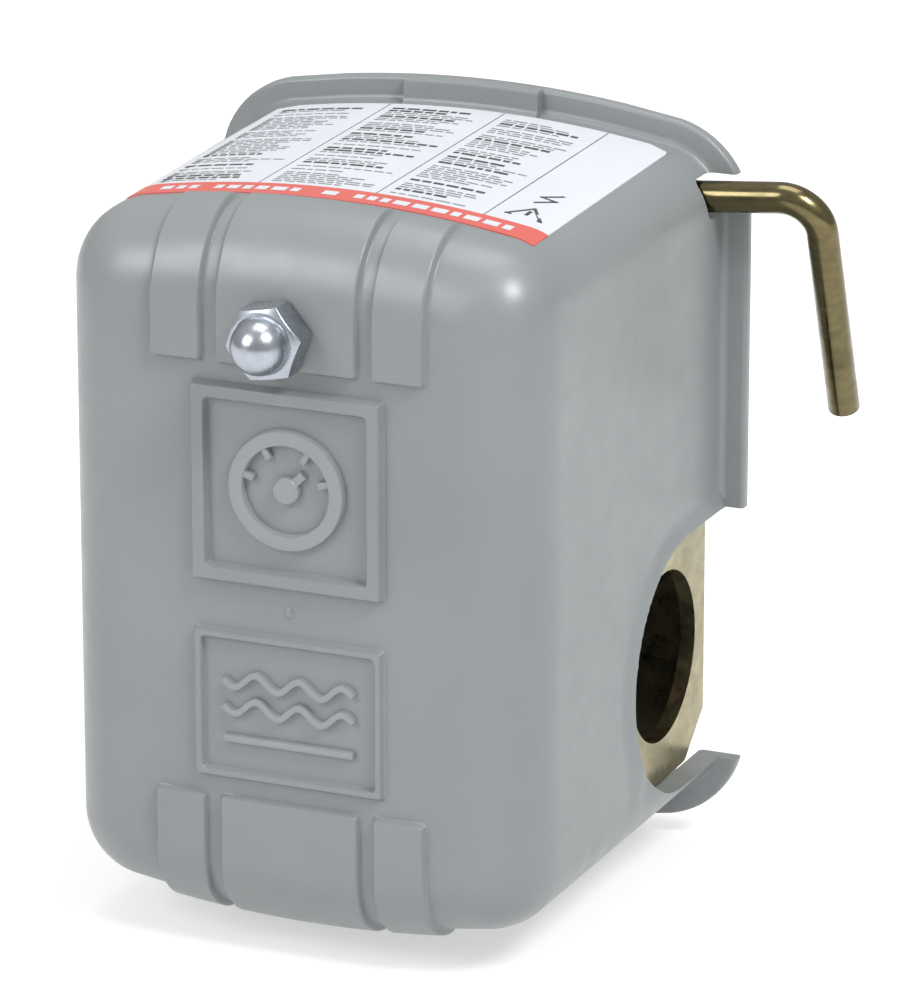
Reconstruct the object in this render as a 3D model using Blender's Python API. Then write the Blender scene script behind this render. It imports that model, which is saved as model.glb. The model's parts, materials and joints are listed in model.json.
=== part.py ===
"""Diaphragm pressure switch for a water pump, with a low-pressure cut-off lever.

+X points to the lever side, +Y back along the pressure connection, +Z to the labelled top.
The origin is the centre of the pressure connection's rear face. Lengths are in metres.
"""

import math

import bmesh
import bpy
from mathutils import Matrix, Vector

MM = 0.001
GAP = 0.3 * MM  # left between pieces that touch

# Cover: a crowned box, open at the back, with a rim flange.
COVER_FACE_Y = -93.0 * MM
COVER_DEPTH = 61.2 * MM
COVER_RIM_Y = COVER_FACE_Y + COVER_DEPTH
COVER_TOP = 28.3 * MM
COVER_BOTTOM = -62.6 * MM
COVER_HALF_WIDTH = 31.5 * MM  # behind the rounded front edge
COVER_DRAFT = 0.030  # sideways growth for each unit of depth
COVER_WALL = 2.2 * MM
CROWN_RADIUS = 146 * MM
CORNER_RADIUS = 9.0 * MM
FACE_CORNER_RADIUS = 3.0 * MM  # of the flat part of the face
EDGE_DEPTH = 10.0 * MM  # the front edge's rounding, along Y
EDGE_SIDE = 9.0 * MM  # and across: at the sides
EDGE_TOP = 11.0 * MM
EDGE_BOTTOM = 9.0 * MM
FLANGE_WIDTH = 3.2 * MM
FLANGE_THICKNESS = 2.0 * MM
RIM_BLOCK = 1.3 * MM  # the thicker stretch of the top flange

# Raised bands and frames on the face.
RELIEF_BEVEL = 0.3 * MM
BAND_HEIGHT = 0.9 * MM
BAND_X = (9.4 * MM, 10.9 * MM, 18.1 * MM)  # centre band's edge, side band's two edges
BAND_LOW_EDGE = 10.1 * MM
BAND_HIGH_EDGE = -44.85 * MM
SQUARE_HEIGHT = 1.2 * MM
SQUARE_HALF = 12.7 * MM
SQUARE_BORDER = 2.4 * MM
SQUARE_TOP = 8.0 * MM
PLATE_HEIGHT = 0.9 * MM
PLATE_BORDER = 1.5 * MM
PLATE_TOP = -23.4 * MM
PLATE_BOTTOM = -42.8 * MM

LABEL_HALF_WIDTH = 26.7 * MM
LABEL_DEPTHS = (12.0 * MM, 57.0 * MM)  # behind the cover's face
LABEL_THICKNESS = 0.25 * MM

# Frame: a base plate with two conduit ears.
PLATE_FRONT_Y = COVER_RIM_Y + GAP
SHEET = 2.0 * MM
PLATE_BACK_Y = PLATE_FRONT_Y + SHEET
BASE_HALF_WIDTH = 27.0 * MM
BASE_TOP = 27.0 * MM
BASE_BOTTOM = -59.5 * MM
EAR_X = 29.9 * MM  # outer face
EAR_FRONT_Y = -61.8 * MM
EAR_Z = (-54.4 * MM, -20.8 * MM)
CONDUIT_RADIUS = 11.1 * MM
CONDUIT_Y = -45.0 * MM
CONDUIT_Z = -37.6 * MM
NOTCH_RADIUS = 17.0 * MM

# Pressure connection and diaphragm.
PORT_RADIUS = 5.6 * MM
BOSS_ACROSS_FLATS = 22.2 * MM
FLANGE_RADIUS = 24.0 * MM
FLANGE_FRONT_Y = PLATE_BACK_Y + 1.4 * MM
FLANGE_BACK_Y = FLANGE_FRONT_Y + 8.4 * MM
HOUSING_SCREW_X, HOUSING_SCREW_Z = 13.0 * MM, 15.2 * MM
SCREW_RADIUS = 1.8 * MM
PLUNGER_RADIUS = 10.0 * MM

# Operating plate and its pivot.
WEB_FRONT_Y = -41.6 * MM
WEB_BACK_Y = -39.6 * MM
PIVOT_Y = -43.6 * MM
PIVOT_Z = -16.0 * MM
PIN_RADIUS = 1.5 * MM
LUG_X = (15.8 * MM, 17.4 * MM)

# Springs on their studs.
RANGE_X, RANGE_Z = -1.0 * MM, 14.7 * MM
RANGE_STUD_RADIUS = 2.1 * MM
DIFFERENTIAL_X, DIFFERENTIAL_Z = 14.5 * MM, 5.5 * MM
DIFFERENTIAL_STUD_RADIUS = 1.75 * MM

# Cut-off lever.
LEVER_RADIUS = 2.0 * MM
LEVER_Y = -36.0 * MM
LEVER_Z = 20.4 * MM
LEVER_CORNERS = [  # of its centre line, each with its bend radius
    ((-15.4 * MM, LEVER_Y, LEVER_Z), 0),
    ((30.5 * MM, LEVER_Y, LEVER_Z), 9 * MM),
    ((46.3 * MM, LEVER_Y, LEVER_Z + 1.45 * MM), 4.8 * MM),
    ((46.7 * MM, LEVER_Y + 10.0 * MM, LEVER_Z - 28.6 * MM), 0),
]
SLOT_Z = (18.1 * MM, 23.0 * MM)

# Terminal block and contacts.
BLOCK_FRONT_Y = -72.0 * MM
BLOCK_BACK_Y = -52.0 * MM
BLOCK_Z = (-33.0 * MM, -13.0 * MM)
BLOCK_HALF_WIDTH = 25.4 * MM
TERMINAL_X = (-19.05 * MM, -6.35 * MM, 6.35 * MM, 19.05 * MM)
TERMINAL_SCREW_Z = -20.5 * MM
CONTACT_Z = -28.3 * MM

FINISHES = {
    "grey_plastic": ((0.30, 0.33, 0.34), 0.0, 0.45),
    "white_label": ((0.83, 0.84, 0.86), 0.0, 0.4),
    "bright_zinc": ((0.75, 0.77, 0.80), 1.0, 0.25),
    "yellow_zinc": ((0.72, 0.64, 0.42), 1.0, 0.35),
    "spring_steel": ((0.50, 0.50, 0.52), 1.0, 0.35),
    "cast_zinc": ((0.55, 0.56, 0.58), 1.0, 0.5),
    "black_plastic": ((0.02, 0.02, 0.022), 0.0, 0.4),
    "red_plastic": ((0.45, 0.05, 0.03), 0.0, 0.45),
    "brass": ((0.78, 0.58, 0.25), 1.0, 0.3),
    "rubber": ((0.03, 0.03, 0.03), 0.0, 0.8),
    "green_steel": ((0.05, 0.30, 0.10), 0.6, 0.4),
}


def clear_scene():
    for item in list(bpy.data.objects):
        bpy.data.objects.remove(item, do_unlink=True)


def finish_of(name):
    found = bpy.data.materials.get(name)
    if found:
        return found
    colour, metallic, roughness = FINISHES[name]
    made = bpy.data.materials.new(name)
    made.use_nodes = True
    shader = made.node_tree.nodes["Principled BSDF"]
    shader.inputs["Base Color"].default_value = (*colour, 1)
    shader.inputs["Metallic"].default_value = metallic
    shader.inputs["Roughness"].default_value = roughness
    return made


def add(name, shape, finish=None, origin=(0, 0, 0)):
    """Turns a bmesh into an object whose own origin is at the given place."""
    bmesh.ops.recalc_face_normals(shape, faces=shape.faces)
    bmesh.ops.translate(shape, verts=shape.verts, vec=-Vector(origin))
    mesh = bpy.data.meshes.new(name)
    shape.to_mesh(mesh)
    shape.free()
    mesh.shade_smooth()
    mesh.set_sharp_from_angle(angle=math.radians(35))
    item = bpy.data.objects.new(name, mesh)
    item.location = origin
    bpy.context.scene.collection.objects.link(item)
    if finish:
        mesh.materials.append(finish_of(finish))
    return item


def combine(item, shape, operation):
    """Joins a bmesh to an object, or cuts it away, and returns the hidden helper that does it."""
    helper = add(f"{item.name}_helper", shape)
    helper.hide_render = True
    helper.display_type = "WIRE"
    modifier = item.modifiers.new(operation.lower(), "BOOLEAN")
    modifier.operation = operation
    modifier.solver = "EXACT"
    modifier.object = helper
    return helper


def join(item, shape):
    return combine(item, shape, "UNION")


def cut(item, shape):
    return combine(item, shape, "DIFFERENCE")


def bevel(item, width, segments=1):
    modifier = item.modifiers.new("bevel", "BEVEL")
    modifier.width = width
    modifier.segments = segments
    modifier.limit_method = "ANGLE"
    modifier.angle_limit = math.radians(40)


def merged(*shapes):
    """One bmesh that holds several shapes which don't touch each other."""
    whole = bmesh.new()
    for shape in shapes:
        scratch = bpy.data.meshes.new("scratch")
        shape.to_mesh(scratch)
        shape.free()
        whole.from_mesh(scratch)
        bpy.data.meshes.remove(scratch)
    return whole


def ring_faces(shape, one, other, closed=True):
    """Quads between two rows of vertices with the same count."""
    count = len(one)
    for i in range(count if closed else count - 1):
        j = (i + 1) % count
        shape.faces.new((one[i], one[j], other[j], other[i]))


AXES = {
    "X": lambda a, b, along: (along, a, b),
    "Y": lambda a, b, along: (a, along, b),
    "Z": lambda a, b, along: (a, b, along),
}


def prism(outline, low, high, axis="Y"):
    """Extrudes an outline of (a, b) points, in the two other axes' order, from low to high."""
    shape = bmesh.new()
    place = AXES[axis]
    ends = [[shape.verts.new(place(a, b, along)) for a, b in outline] for along in (low, high)]
    ring_faces(shape, *ends)
    for end in ends:
        shape.faces.new(end)
    return shape


def box(low, high):
    corners = [(low[0], low[2]), (high[0], low[2]), (high[0], high[2]), (low[0], high[2])]
    return prism(corners, low[1], high[1])


def circle(radius, sides, centre=(0, 0), start=0.0):
    angles = [start + 2 * math.pi * i / sides for i in range(sides)]
    return [(centre[0] + radius * math.cos(a), centre[1] + radius * math.sin(a)) for a in angles]


def hexagon(across_flats, centre=(0, 0), turn=0.0):
    return circle(across_flats / math.sqrt(3), 6, centre, turn)


def rounded(corners, steps=3):
    """An outline with arcs at its corners, from (a, b, radius) for each one."""
    points = []
    count = len(corners)
    for i, (a, b, radius) in enumerate(corners):
        here = Vector((a, b))
        before = (Vector(corners[i - 1][:2]) - here).normalized()
        after = (Vector(corners[(i + 1) % count][:2]) - here).normalized()
        if radius == 0:
            points.append((a, b))
            continue
        half = before.angle(after) / 2
        centre = here + (before + after).normalized() * radius / math.sin(half)
        first = (here + before * radius / math.tan(half) - centre).normalized()
        last = (here + after * radius / math.tan(half) - centre).normalized()
        for k in range(steps + 1):
            points.append(tuple(centre + first.slerp(last, k / steps) * radius))
    return points


def turned(profile, centre=(0, 0), sides=24, axis="Y", start=0.0):
    """A solid of revolution from (radius, along) points; a closed loop of them makes a ring."""
    shape = bmesh.new()
    place = AXES[axis]
    rows = []
    for radius, along in profile:
        if radius == 0:
            rows.append([shape.verts.new(place(*centre, along))])
        else:
            spots = circle(radius, sides, centre, start)
            rows.append([shape.verts.new(place(a, b, along)) for a, b in spots])
    open_ended = profile[0][0] == 0
    for one, other in zip(rows, rows[1:] if open_ended else rows[1:] + rows[:1]):
        if len(one) == 1 or len(other) == 1:
            tip, rim = (one, other) if len(one) == 1 else (other, one)
            for i in range(sides):
                shape.faces.new((tip[0], rim[i], rim[(i + 1) % sides]))
        else:
            ring_faces(shape, one, other)
    return shape


def cylinder(radius, low, high, centre=(0, 0), axis="Y", sides=20):
    return prism(circle(radius, sides, centre), low, high, axis)


def tube(path, radius, sides):
    """A round wire along a list of points, with flat ends."""
    shape = bmesh.new()
    points = [Vector(p) for p in path]
    side = None
    rows = []
    for i, point in enumerate(points):
        ahead = points[min(i + 1, len(points) - 1)] - points[max(i - 1, 0)]
        ahead.normalize()
        if side is None:
            side = ahead.orthogonal().normalized()
        side = (side - ahead * side.dot(ahead)).normalized()
        other = ahead.cross(side)
        spots = circle(radius, sides)
        rows.append([shape.verts.new(point + side * a + other * b) for a, b in spots])
    for one, other in zip(rows, rows[1:]):
        ring_faces(shape, one, other)
    shape.faces.new(rows[0])
    shape.faces.new(rows[-1])
    return shape


def coil(low, high, turns, mean_radius, wire_radius, centre, axis="Y", steps=14, sides=6):
    """A helical spring whose first and last turns lie close together; low and high are outside."""
    place = AXES[axis]
    start, end = low + wire_radius, high - wire_radius
    dead_pitch = 2.25 * wire_radius
    count = round(turns * steps)
    path = []
    for i in range(count + 1):
        turn = i / steps
        if turn < 1:
            along = start + dead_pitch * turn
        elif turn > turns - 1:
            along = end - dead_pitch * (turns - turn)
        else:
            share = (turn - 1) / (turns - 2)
            along = start + dead_pitch + (end - start - 2 * dead_pitch) * share
        angle = 2 * math.pi * turn
        spot = (centre[0] + mean_radius * math.cos(angle), centre[1] + mean_radius * math.sin(angle))
        path.append(place(*spot, along))
    return tube(path, wire_radius, sides)


# --- Cover ---------------------------------------------------------------------------------


def relief(x, z):
    """Height of the raised bands and frames above the flat face, with bevelled sides."""

    def rise(inside, height):
        return height * min(max(inside / RELIEF_BEVEL, 0), 1)

    x = abs(x)
    in_band = max(BAND_X[0] - x, min(x - BAND_X[1], BAND_X[2] - x))
    band = rise(min(in_band, max(z - BAND_LOW_EDGE, BAND_HIGH_EDGE - z)), BAND_HEIGHT)
    square_middle = SQUARE_TOP - SQUARE_HALF
    off = max(x, abs(z - square_middle))
    square = rise(min(SQUARE_HALF - off, off - SQUARE_HALF + SQUARE_BORDER), SQUARE_HEIGHT)
    plate_middle = (PLATE_TOP + PLATE_BOTTOM) / 2
    plate_half = (PLATE_TOP - PLATE_BOTTOM) / 2
    inside = min(SQUARE_HALF - x, plate_half - abs(z - plate_middle))
    plate = rise(min(inside, PLATE_BORDER - inside), PLATE_HEIGHT)
    return max(band, square, plate)


def both_sides_of(edge, inward):
    return (edge, edge + math.copysign(RELIEF_BEVEL, inward))


def face_columns():
    """X of the face's grid lines: every edge of the relief, at its foot and at its top."""
    right = [
        *both_sides_of(BAND_X[0], -1),
        *both_sides_of(BAND_X[1], 1),
        *both_sides_of(BAND_X[2], -1),
        *both_sides_of(SQUARE_HALF, -1),
        *both_sides_of(SQUARE_HALF - SQUARE_BORDER, 1),
        SQUARE_HALF - PLATE_BORDER + RELIEF_BEVEL,
    ]
    right = sorted({round(x, 6) for x in right})
    return [-x for x in reversed(right)] + [0.0] + right


def face_rows():
    square_low = SQUARE_TOP - 2 * SQUARE_HALF
    rows = [
        *both_sides_of(BAND_LOW_EDGE, 1),
        *both_sides_of(SQUARE_TOP, -1),
        *both_sides_of(SQUARE_TOP - SQUARE_BORDER, 1),
        *both_sides_of(square_low + SQUARE_BORDER, -1),
        *both_sides_of(square_low, 1),
        *both_sides_of(PLATE_TOP, -1),
        *both_sides_of(PLATE_TOP - PLATE_BORDER, 1),
        *both_sides_of(PLATE_BOTTOM + PLATE_BORDER, -1),
        *both_sides_of(PLATE_BOTTOM, 1),
        *both_sides_of(BAND_HIGH_EDGE, -1),
    ]
    return sorted(rows, reverse=True)


def crowned_corner(half_width, apex, radius, crown, up):
    """Centre of a corner arc that meets the crowned edge smoothly, and the arc's first angle."""
    across = half_width - radius
    middle = apex - up * crown
    rise = math.sqrt((crown - radius) ** 2 - across**2)
    return (across, middle + up * rise), math.atan2(rise, across)


def cover_section(half_width, top, bottom, radius, crown, columns, rows, steps):
    """One (x, z) loop of the cover, clockwise from the top left: crowned edges, round corners."""
    (across, high), high_angle = crowned_corner(half_width, top, radius, crown, 1)
    (_, low), low_angle = crowned_corner(half_width, bottom, radius, crown, -1)

    def edge(x, apex, up):
        return apex - up * (crown - math.sqrt(crown**2 - x**2))

    def arc(side, height, first, up):
        turned_by = [first * (1 - k / steps) for k in range(steps + 1)]
        return [
            (side * (across + radius * math.cos(a)), height + up * radius * math.sin(a))
            for a in turned_by
        ]

    loop = [(x, edge(x, top, 1)) for x in columns]
    loop += arc(1, high, high_angle, 1)
    loop += [(half_width, z) for z in rows]
    loop += reversed(arc(1, low, low_angle, -1))
    loop += [(x, edge(x, bottom, -1)) for x in reversed(columns)]
    loop += arc(-1, low, low_angle, -1)
    loop += [(-half_width, z) for z in reversed(rows)]
    loop += reversed(arc(-1, high, high_angle, 1))
    return loop


def drafted_half_width(depth):
    return COVER_HALF_WIDTH + COVER_DRAFT * (depth - EDGE_DEPTH)


def wall_section(depth, outwards, columns, rows, steps):
    """The wall's loop at a depth behind the face, moved outwards, or inwards if negative."""
    return cover_section(
        drafted_half_width(depth) + outwards,
        COVER_TOP + outwards,
        COVER_BOTTOM - outwards,
        CORNER_RADIUS + outwards,
        CROWN_RADIUS + outwards,
        columns,
        rows,
        steps,
    )


def front_edge_section(turn, inwards, columns, rows, steps):
    """A loop on the rounded front edge: turn is 0 at the flat face and 1 where the side starts."""
    angle = turn * math.pi / 2
    left = 1 - math.sin(angle)
    flat = FACE_CORNER_RADIUS - inwards * 0.5
    return cover_section(
        COVER_HALF_WIDTH - EDGE_SIDE * left - inwards * math.sin(angle),
        COVER_TOP - EDGE_TOP * left - inwards * math.sin(angle),
        COVER_BOTTOM + EDGE_BOTTOM * left + inwards * math.sin(angle),
        flat + (CORNER_RADIUS - inwards - flat) * math.sin(angle),
        CROWN_RADIUS,
        columns,
        rows,
        steps,
    ), EDGE_DEPTH * (1 - math.cos(angle)) + inwards * math.cos(angle)


def cover_shell(edge_steps, corner_steps, side_depths):
    """The whole cover without its cut-outs, as one closed mesh."""
    columns, rows = face_columns(), face_rows()
    grid = (columns, rows, corner_steps)
    shape = bmesh.new()

    def ring(loop, depth_of):
        return [shape.verts.new((x, COVER_FACE_Y + depth_of(x, z), z)) for x, z in loop]

    def raised(loop, depth, turn):
        """The rounded edge with the bands, which die out towards the cover's side."""
        fade = min(1, 2 * (1 - turn))
        lean = turn * math.pi / 2
        spots = []
        for x, z in loop:
            lift = relief(x, z) * fade
            up = 1 if z > 0 else -1
            y = COVER_FACE_Y + depth - lift * math.cos(lean)
            spots.append(shape.verts.new((x, y, z + up * lift * math.sin(lean))))
        return spots

    def block_shift(x, z):
        return RIM_BLOCK if z > 0 and abs(x) <= BAND_X[0] - RELIEF_BEVEL / 2 else 0.0

    rings = []
    for i in range(edge_steps + 1):
        loop, depth = front_edge_section(i / edge_steps, 0.0, *grid)
        rings.append(raised(loop, depth, i / edge_steps))
    flange_depth = COVER_DEPTH - FLANGE_THICKNESS
    for depth in side_depths:
        rings.append(ring(wall_section(depth, 0.0, *grid), lambda x, z, d=depth: d))
    for outwards in (0.0, FLANGE_WIDTH):
        loop = wall_section(flange_depth, outwards, *grid)
        rings.append(ring(loop, lambda x, z: flange_depth - block_shift(x, z)))
    for outwards in (FLANGE_WIDTH, -COVER_WALL):
        rings.append(ring(wall_section(COVER_DEPTH, outwards, *grid), lambda x, z: COVER_DEPTH))
    for turn in (1.0, 0.6, 0.3, 0.0):
        loop, depth = front_edge_section(turn, COVER_WALL, *grid)
        rings.append(ring(loop, lambda x, z, d=depth: d))
    for one, other in zip(rings, rings[1:]):
        ring_faces(shape, one, other)
    shape.faces.new(rings[-1])
    fill_face(shape, rings[0], columns, rows, corner_steps)
    return shape


def fill_face(shape, rim, columns, rows, corner_steps):
    """Fills the flat face inside its rim with a grid that carries the relief, and corner fans."""
    across, down, arc = len(columns), len(rows), corner_steps + 1
    top = rim[:across]
    top_right = rim[across : across + arc]
    right = rim[across + arc : across + arc + down]
    rest = rim[across + arc + down :]
    bottom_right, rest = rest[:arc], rest[arc:]
    bottom, rest = rest[:across][::-1], rest[across:]
    bottom_left, rest = rest[:arc], rest[arc:]
    left, top_left = rest[:down][::-1], rest[down:]

    def spot(x, z):
        return shape.verts.new((x, COVER_FACE_Y - relief(x, z), z))

    grid = [[spot(x, z) for x in columns] for z in rows]
    for upper, lower in zip(grid, grid[1:]):
        ring_faces(shape, upper, lower, closed=False)
    ring_faces(shape, top, grid[0], closed=False)
    ring_faces(shape, grid[-1], bottom, closed=False)
    ring_faces(shape, [line[-1] for line in grid], right, closed=False)
    ring_faces(shape, left, [line[0] for line in grid], closed=False)
    for corner, run in (
        (grid[0][-1], [top[-1], *top_right, right[0]]),
        (grid[-1][-1], [right[-1], *bottom_right, bottom[-1]]),
        (grid[-1][0], [bottom[0], *bottom_left, left[-1]]),
        (grid[0][0], [left[0], *top_left, top[0]]),
    ):
        for one, other in zip(run, run[1:]):
            shape.faces.new((corner, one, other))


def conduit_notch(side):
    """The cut-out round a conduit ear: half round in front and open to the rim."""
    spots = [
        (CONDUIT_Y - NOTCH_RADIUS * math.cos(a), CONDUIT_Z + NOTCH_RADIUS * math.sin(a))
        for a in (math.radians(d) for d in range(-90, 91, 9))
    ]
    back = COVER_RIM_Y + 5 * MM
    spots += [(back, CONDUIT_Z + NOTCH_RADIUS), (back, CONDUIT_Z - NOTCH_RADIUS)]
    low, high = sorted((side * 20 * MM, side * 45 * MM))
    return prism(spots, low, high, "X")


def build_cover():
    cover = add("cover", cover_shell(6, 5, (30 * MM,)), "grey_plastic")
    slot_low = (20 * MM, LEVER_Y - LEVER_RADIUS - 0.3 * MM, SLOT_Z[0])
    slot_high = (45 * MM, COVER_RIM_Y + 5 * MM, SLOT_Z[1])
    stud_hole = cylinder(
        RANGE_STUD_RADIUS + 0.6 * MM, COVER_FACE_Y - 5 * MM, COVER_FACE_Y + 5 * MM, (RANGE_X, RANGE_Z)
    )
    cut(cover, merged(conduit_notch(1), conduit_notch(-1), box(slot_low, slot_high), stud_hole))


def build_label():
    """A thin sheet that follows the crowned top just above it."""
    rise = GAP + LABEL_THICKNESS
    columns = [LABEL_HALF_WIDTH * i / 10 for i in range(-10, 11)]
    high_centre, first = crowned_corner(COVER_HALF_WIDTH, COVER_TOP, CORNER_RADIUS, CROWN_RADIUS, 1)
    tangent_x = high_centre[0] + CORNER_RADIUS * math.cos(first)

    def height(x, lift):
        if abs(x) < tangent_x:
            return COVER_TOP - CROWN_RADIUS + math.sqrt((CROWN_RADIUS + lift) ** 2 - x**2)
        reach = CORNER_RADIUS + lift
        return high_centre[1] + math.sqrt(reach**2 - (abs(x) - high_centre[0]) ** 2)

    outline = [(x, height(x, rise)) for x in columns]
    outline += [(x, height(x, GAP)) for x in reversed(columns)]
    front, back = (COVER_FACE_Y + depth for depth in LABEL_DEPTHS)
    add("cover_label", prism(outline, front, back), "white_label")


def build_cap_nut():
    centre = (RANGE_X, RANGE_Z)
    seat_y = COVER_FACE_Y - BAND_HEIGHT - GAP
    hex_y = seat_y - 4.0 * MM
    radius = 3.5 * MM
    dome_y = seat_y - 4.6 * MM
    dome = [(0, hex_y + 1 * MM), (radius, hex_y + 1 * MM), (radius, dome_y)]
    dome += [
        (radius * math.cos(a), dome_y - radius * math.sin(a))
        for a in (math.radians(d) for d in (18, 36, 54, 72))
    ]
    dome.append((0, dome_y - radius))
    origin = (RANGE_X, seat_y, RANGE_Z)
    outline = hexagon(8.7 * MM, centre, math.radians(10))
    nut = add("cap_nut", prism(outline, hex_y, seat_y), "bright_zinc", origin)
    join(nut, turned(dome, centre, 24))
    cut(nut, cylinder(RANGE_STUD_RADIUS + GAP, seat_y - 4.3 * MM, seat_y + 1 * MM, centre))


# --- Frame and pressure end ----------------------------------------------------------------

HOUSING_SCREWS = [
    (x, z)
    for z in (HOUSING_SCREW_Z, -HOUSING_SCREW_Z)
    for x in (HOUSING_SCREW_X, -HOUSING_SCREW_X)
]
BLOCK_SCREWS = [(side * 22.5 * MM, -18.5 * MM) for side in (-1, 1)]
BRACKET_SCREW = (-20.0 * MM, 18.5 * MM)
GROUND_SCREW = (-20.0 * MM, -52.0 * MM)


def ear(side):
    """A conduit ear with its bend, as an L-section extruded along Z, before it is cut to shape."""
    inner = EAR_X - SHEET
    front = EAR_FRONT_Y - 1 * MM
    seam = 0.05 * MM  # keeps its faces off the base plate's own
    section = [
        (22 * MM, PLATE_BACK_Y - seam, 0),
        (EAR_X, PLATE_BACK_Y - seam, 1.3 * MM),
        (EAR_X, front, 0),
        (inner, front, 0),
        (inner, PLATE_FRONT_Y + seam, 0.4 * MM),
        (22 * MM, PLATE_FRONT_Y + seam, 0),
    ]
    outline = [(side * x, y) for x, y in rounded(section, 4)]
    return prism(outline, EAR_Z[0] - 1 * MM, EAR_Z[1] + 1 * MM, "Z")


def ear_waste(side):
    """Everything outside the ear's outline: round in front, with its lower back corner taken off."""
    z_low, z_high = EAR_Z
    back, beyond = PLATE_BACK_Y + 1 * MM, 6 * MM
    keep = rounded(
        [
            (back, z_high, 0),
            (EAR_FRONT_Y, z_high, 16.6 * MM),
            (EAR_FRONT_Y, z_low, 16.8 * MM),
            (-37 * MM, z_low, 2 * MM),
            (back, z_low + 7 * MM, 0),
        ],
        6,
    )
    front = EAR_FRONT_Y - beyond
    far = [(back, z_low - beyond), (front, z_low - beyond), (front, z_high + beyond), (back, z_high + beyond)]
    low, high = sorted((side * 21 * MM, side * 35 * MM))
    return prism(keep + far, low, high, "X")


def pivot_lug(side):
    foot = PLATE_FRONT_Y + 1 * MM
    tip = PIVOT_Y - 3.2 * MM
    outline = rounded(
        [
            (foot, PIVOT_Z - 5 * MM, 0),
            (foot, PIVOT_Z + 5 * MM, 0),
            (tip, PIVOT_Z + 3.2 * MM, 3 * MM),
            (tip, PIVOT_Z - 3.2 * MM, 3 * MM),
        ]
    )
    low, high = sorted(side * x for x in LUG_X)
    return prism(outline, low, high, "X")


def base_outline():
    chamfer, foot = 9 * MM, 5 * MM
    w = BASE_HALF_WIDTH
    return [
        (-w, BASE_BOTTOM + foot),
        (-w + foot, BASE_BOTTOM),
        (w - foot, BASE_BOTTOM),
        (w, BASE_BOTTOM + foot),
        (w, BASE_TOP - chamfer),
        (w - chamfer, BASE_TOP),
        (-w + chamfer, BASE_TOP),
        (-w, BASE_TOP - chamfer),
    ]


def build_frame():
    frame = add("frame", prism(base_outline(), PLATE_FRONT_Y, PLATE_BACK_Y), "yellow_zinc")
    for side in (1, -1):
        cut(join(frame, ear(side)), ear_waste(side))
    tab_low = (-4 * MM, -44.5 * MM, -48.3 * MM)
    tab_high = (4 * MM, PLATE_FRONT_Y + 1 * MM, -46.8 * MM)
    join(frame, merged(pivot_lug(1), pivot_lug(-1), box(tab_low, tab_high)))
    front, back = PLATE_FRONT_Y - 1 * MM, PLATE_BACK_Y + 1 * MM
    holes = [cylinder(PLUNGER_RADIUS + 0.5 * MM, front, back, sides=32)]
    holes.append(cylinder(RANGE_STUD_RADIUS + GAP, front, back, (RANGE_X, RANGE_Z)))
    holes.append(
        cylinder(DIFFERENTIAL_STUD_RADIUS + GAP, front, back, (DIFFERENTIAL_X, DIFFERENTIAL_Z))
    )
    for spot in (*HOUSING_SCREWS, *BLOCK_SCREWS, BRACKET_SCREW, GROUND_SCREW):
        holes.append(cylinder(SCREW_RADIUS + GAP, front, back, spot, sides=16))
    cut(frame, merged(*holes))
    conduit = (CONDUIT_Y, CONDUIT_Z)
    ears = []
    for low, high in ((25 * MM, 35 * MM), (-35 * MM, -25 * MM)):
        ears.append(cylinder(CONDUIT_RADIUS, low, high, conduit, "X", 36))
    ears.append(cylinder(PIN_RADIUS + GAP, -20 * MM, 20 * MM, (PIVOT_Y, PIVOT_Z), "X", 16))
    cut(frame, merged(*ears))


def build_pressure_flange():
    boss_y = -14.5 * MM
    profile = [
        (0, FLANGE_FRONT_Y),
        (FLANGE_RADIUS, FLANGE_FRONT_Y),
        (FLANGE_RADIUS, FLANGE_BACK_Y - 1 * MM),
        (FLANGE_RADIUS - 1 * MM, FLANGE_BACK_Y),
        (16 * MM, FLANGE_BACK_Y),
        (12.4 * MM, boss_y),
        (0, boss_y),
    ]
    flange = add("pressure_flange", turned(profile, sides=40), "cast_zinc")
    join(flange, prism(hexagon(BOSS_ACROSS_FLATS, turn=math.pi / 6), boss_y - 2 * MM, 0))
    chamber = FLANGE_FRONT_Y + 3.2 * MM
    hollow = [
        (0, FLANGE_FRONT_Y - 1 * MM),
        (15 * MM, FLANGE_FRONT_Y - 1 * MM),
        (15 * MM, chamber),
        (2.5 * MM, chamber),
        (2.5 * MM, -13 * MM),
        (PORT_RADIUS, -12 * MM),
        (PORT_RADIUS + 0.1 * MM, -1 * MM),
        (PORT_RADIUS + 1.4 * MM, 0.3 * MM),
        (0, 0.3 * MM),
    ]
    holes = [turned(hollow, sides=32)]
    for spot in HOUSING_SCREWS:
        low, high = FLANGE_FRONT_Y - 1 * MM, FLANGE_BACK_Y + 1 * MM
        holes.append(cylinder(SCREW_RADIUS + GAP, low, high, spot, sides=16))
    cut(flange, merged(*holes))


def build_diaphragm():
    """A rubber disc with one rolled ring that hangs into the pressure chamber."""
    front, back = PLATE_BACK_Y + GAP, FLANGE_FRONT_Y - GAP
    roll = [(11, 0.0), (12, 0.9), (13, 0.9), (14, 0.0)]
    near = [(r * MM, front + lift * MM) for r, lift in roll]
    far = [(r * MM, back + lift * MM) for r, lift in reversed(roll)]
    rim = 23 * MM
    profile = [(0, front), *near, (rim, front), (rim, back), *far, (0, back)]
    disc = add("diaphragm", turned(profile, sides=28), "rubber")
    holes = [
        cylinder(SCREW_RADIUS + GAP, front - 1 * MM, back + 1 * MM, spot, sides=16)
        for spot in HOUSING_SCREWS
    ]
    cut(disc, merged(*holes))


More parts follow.
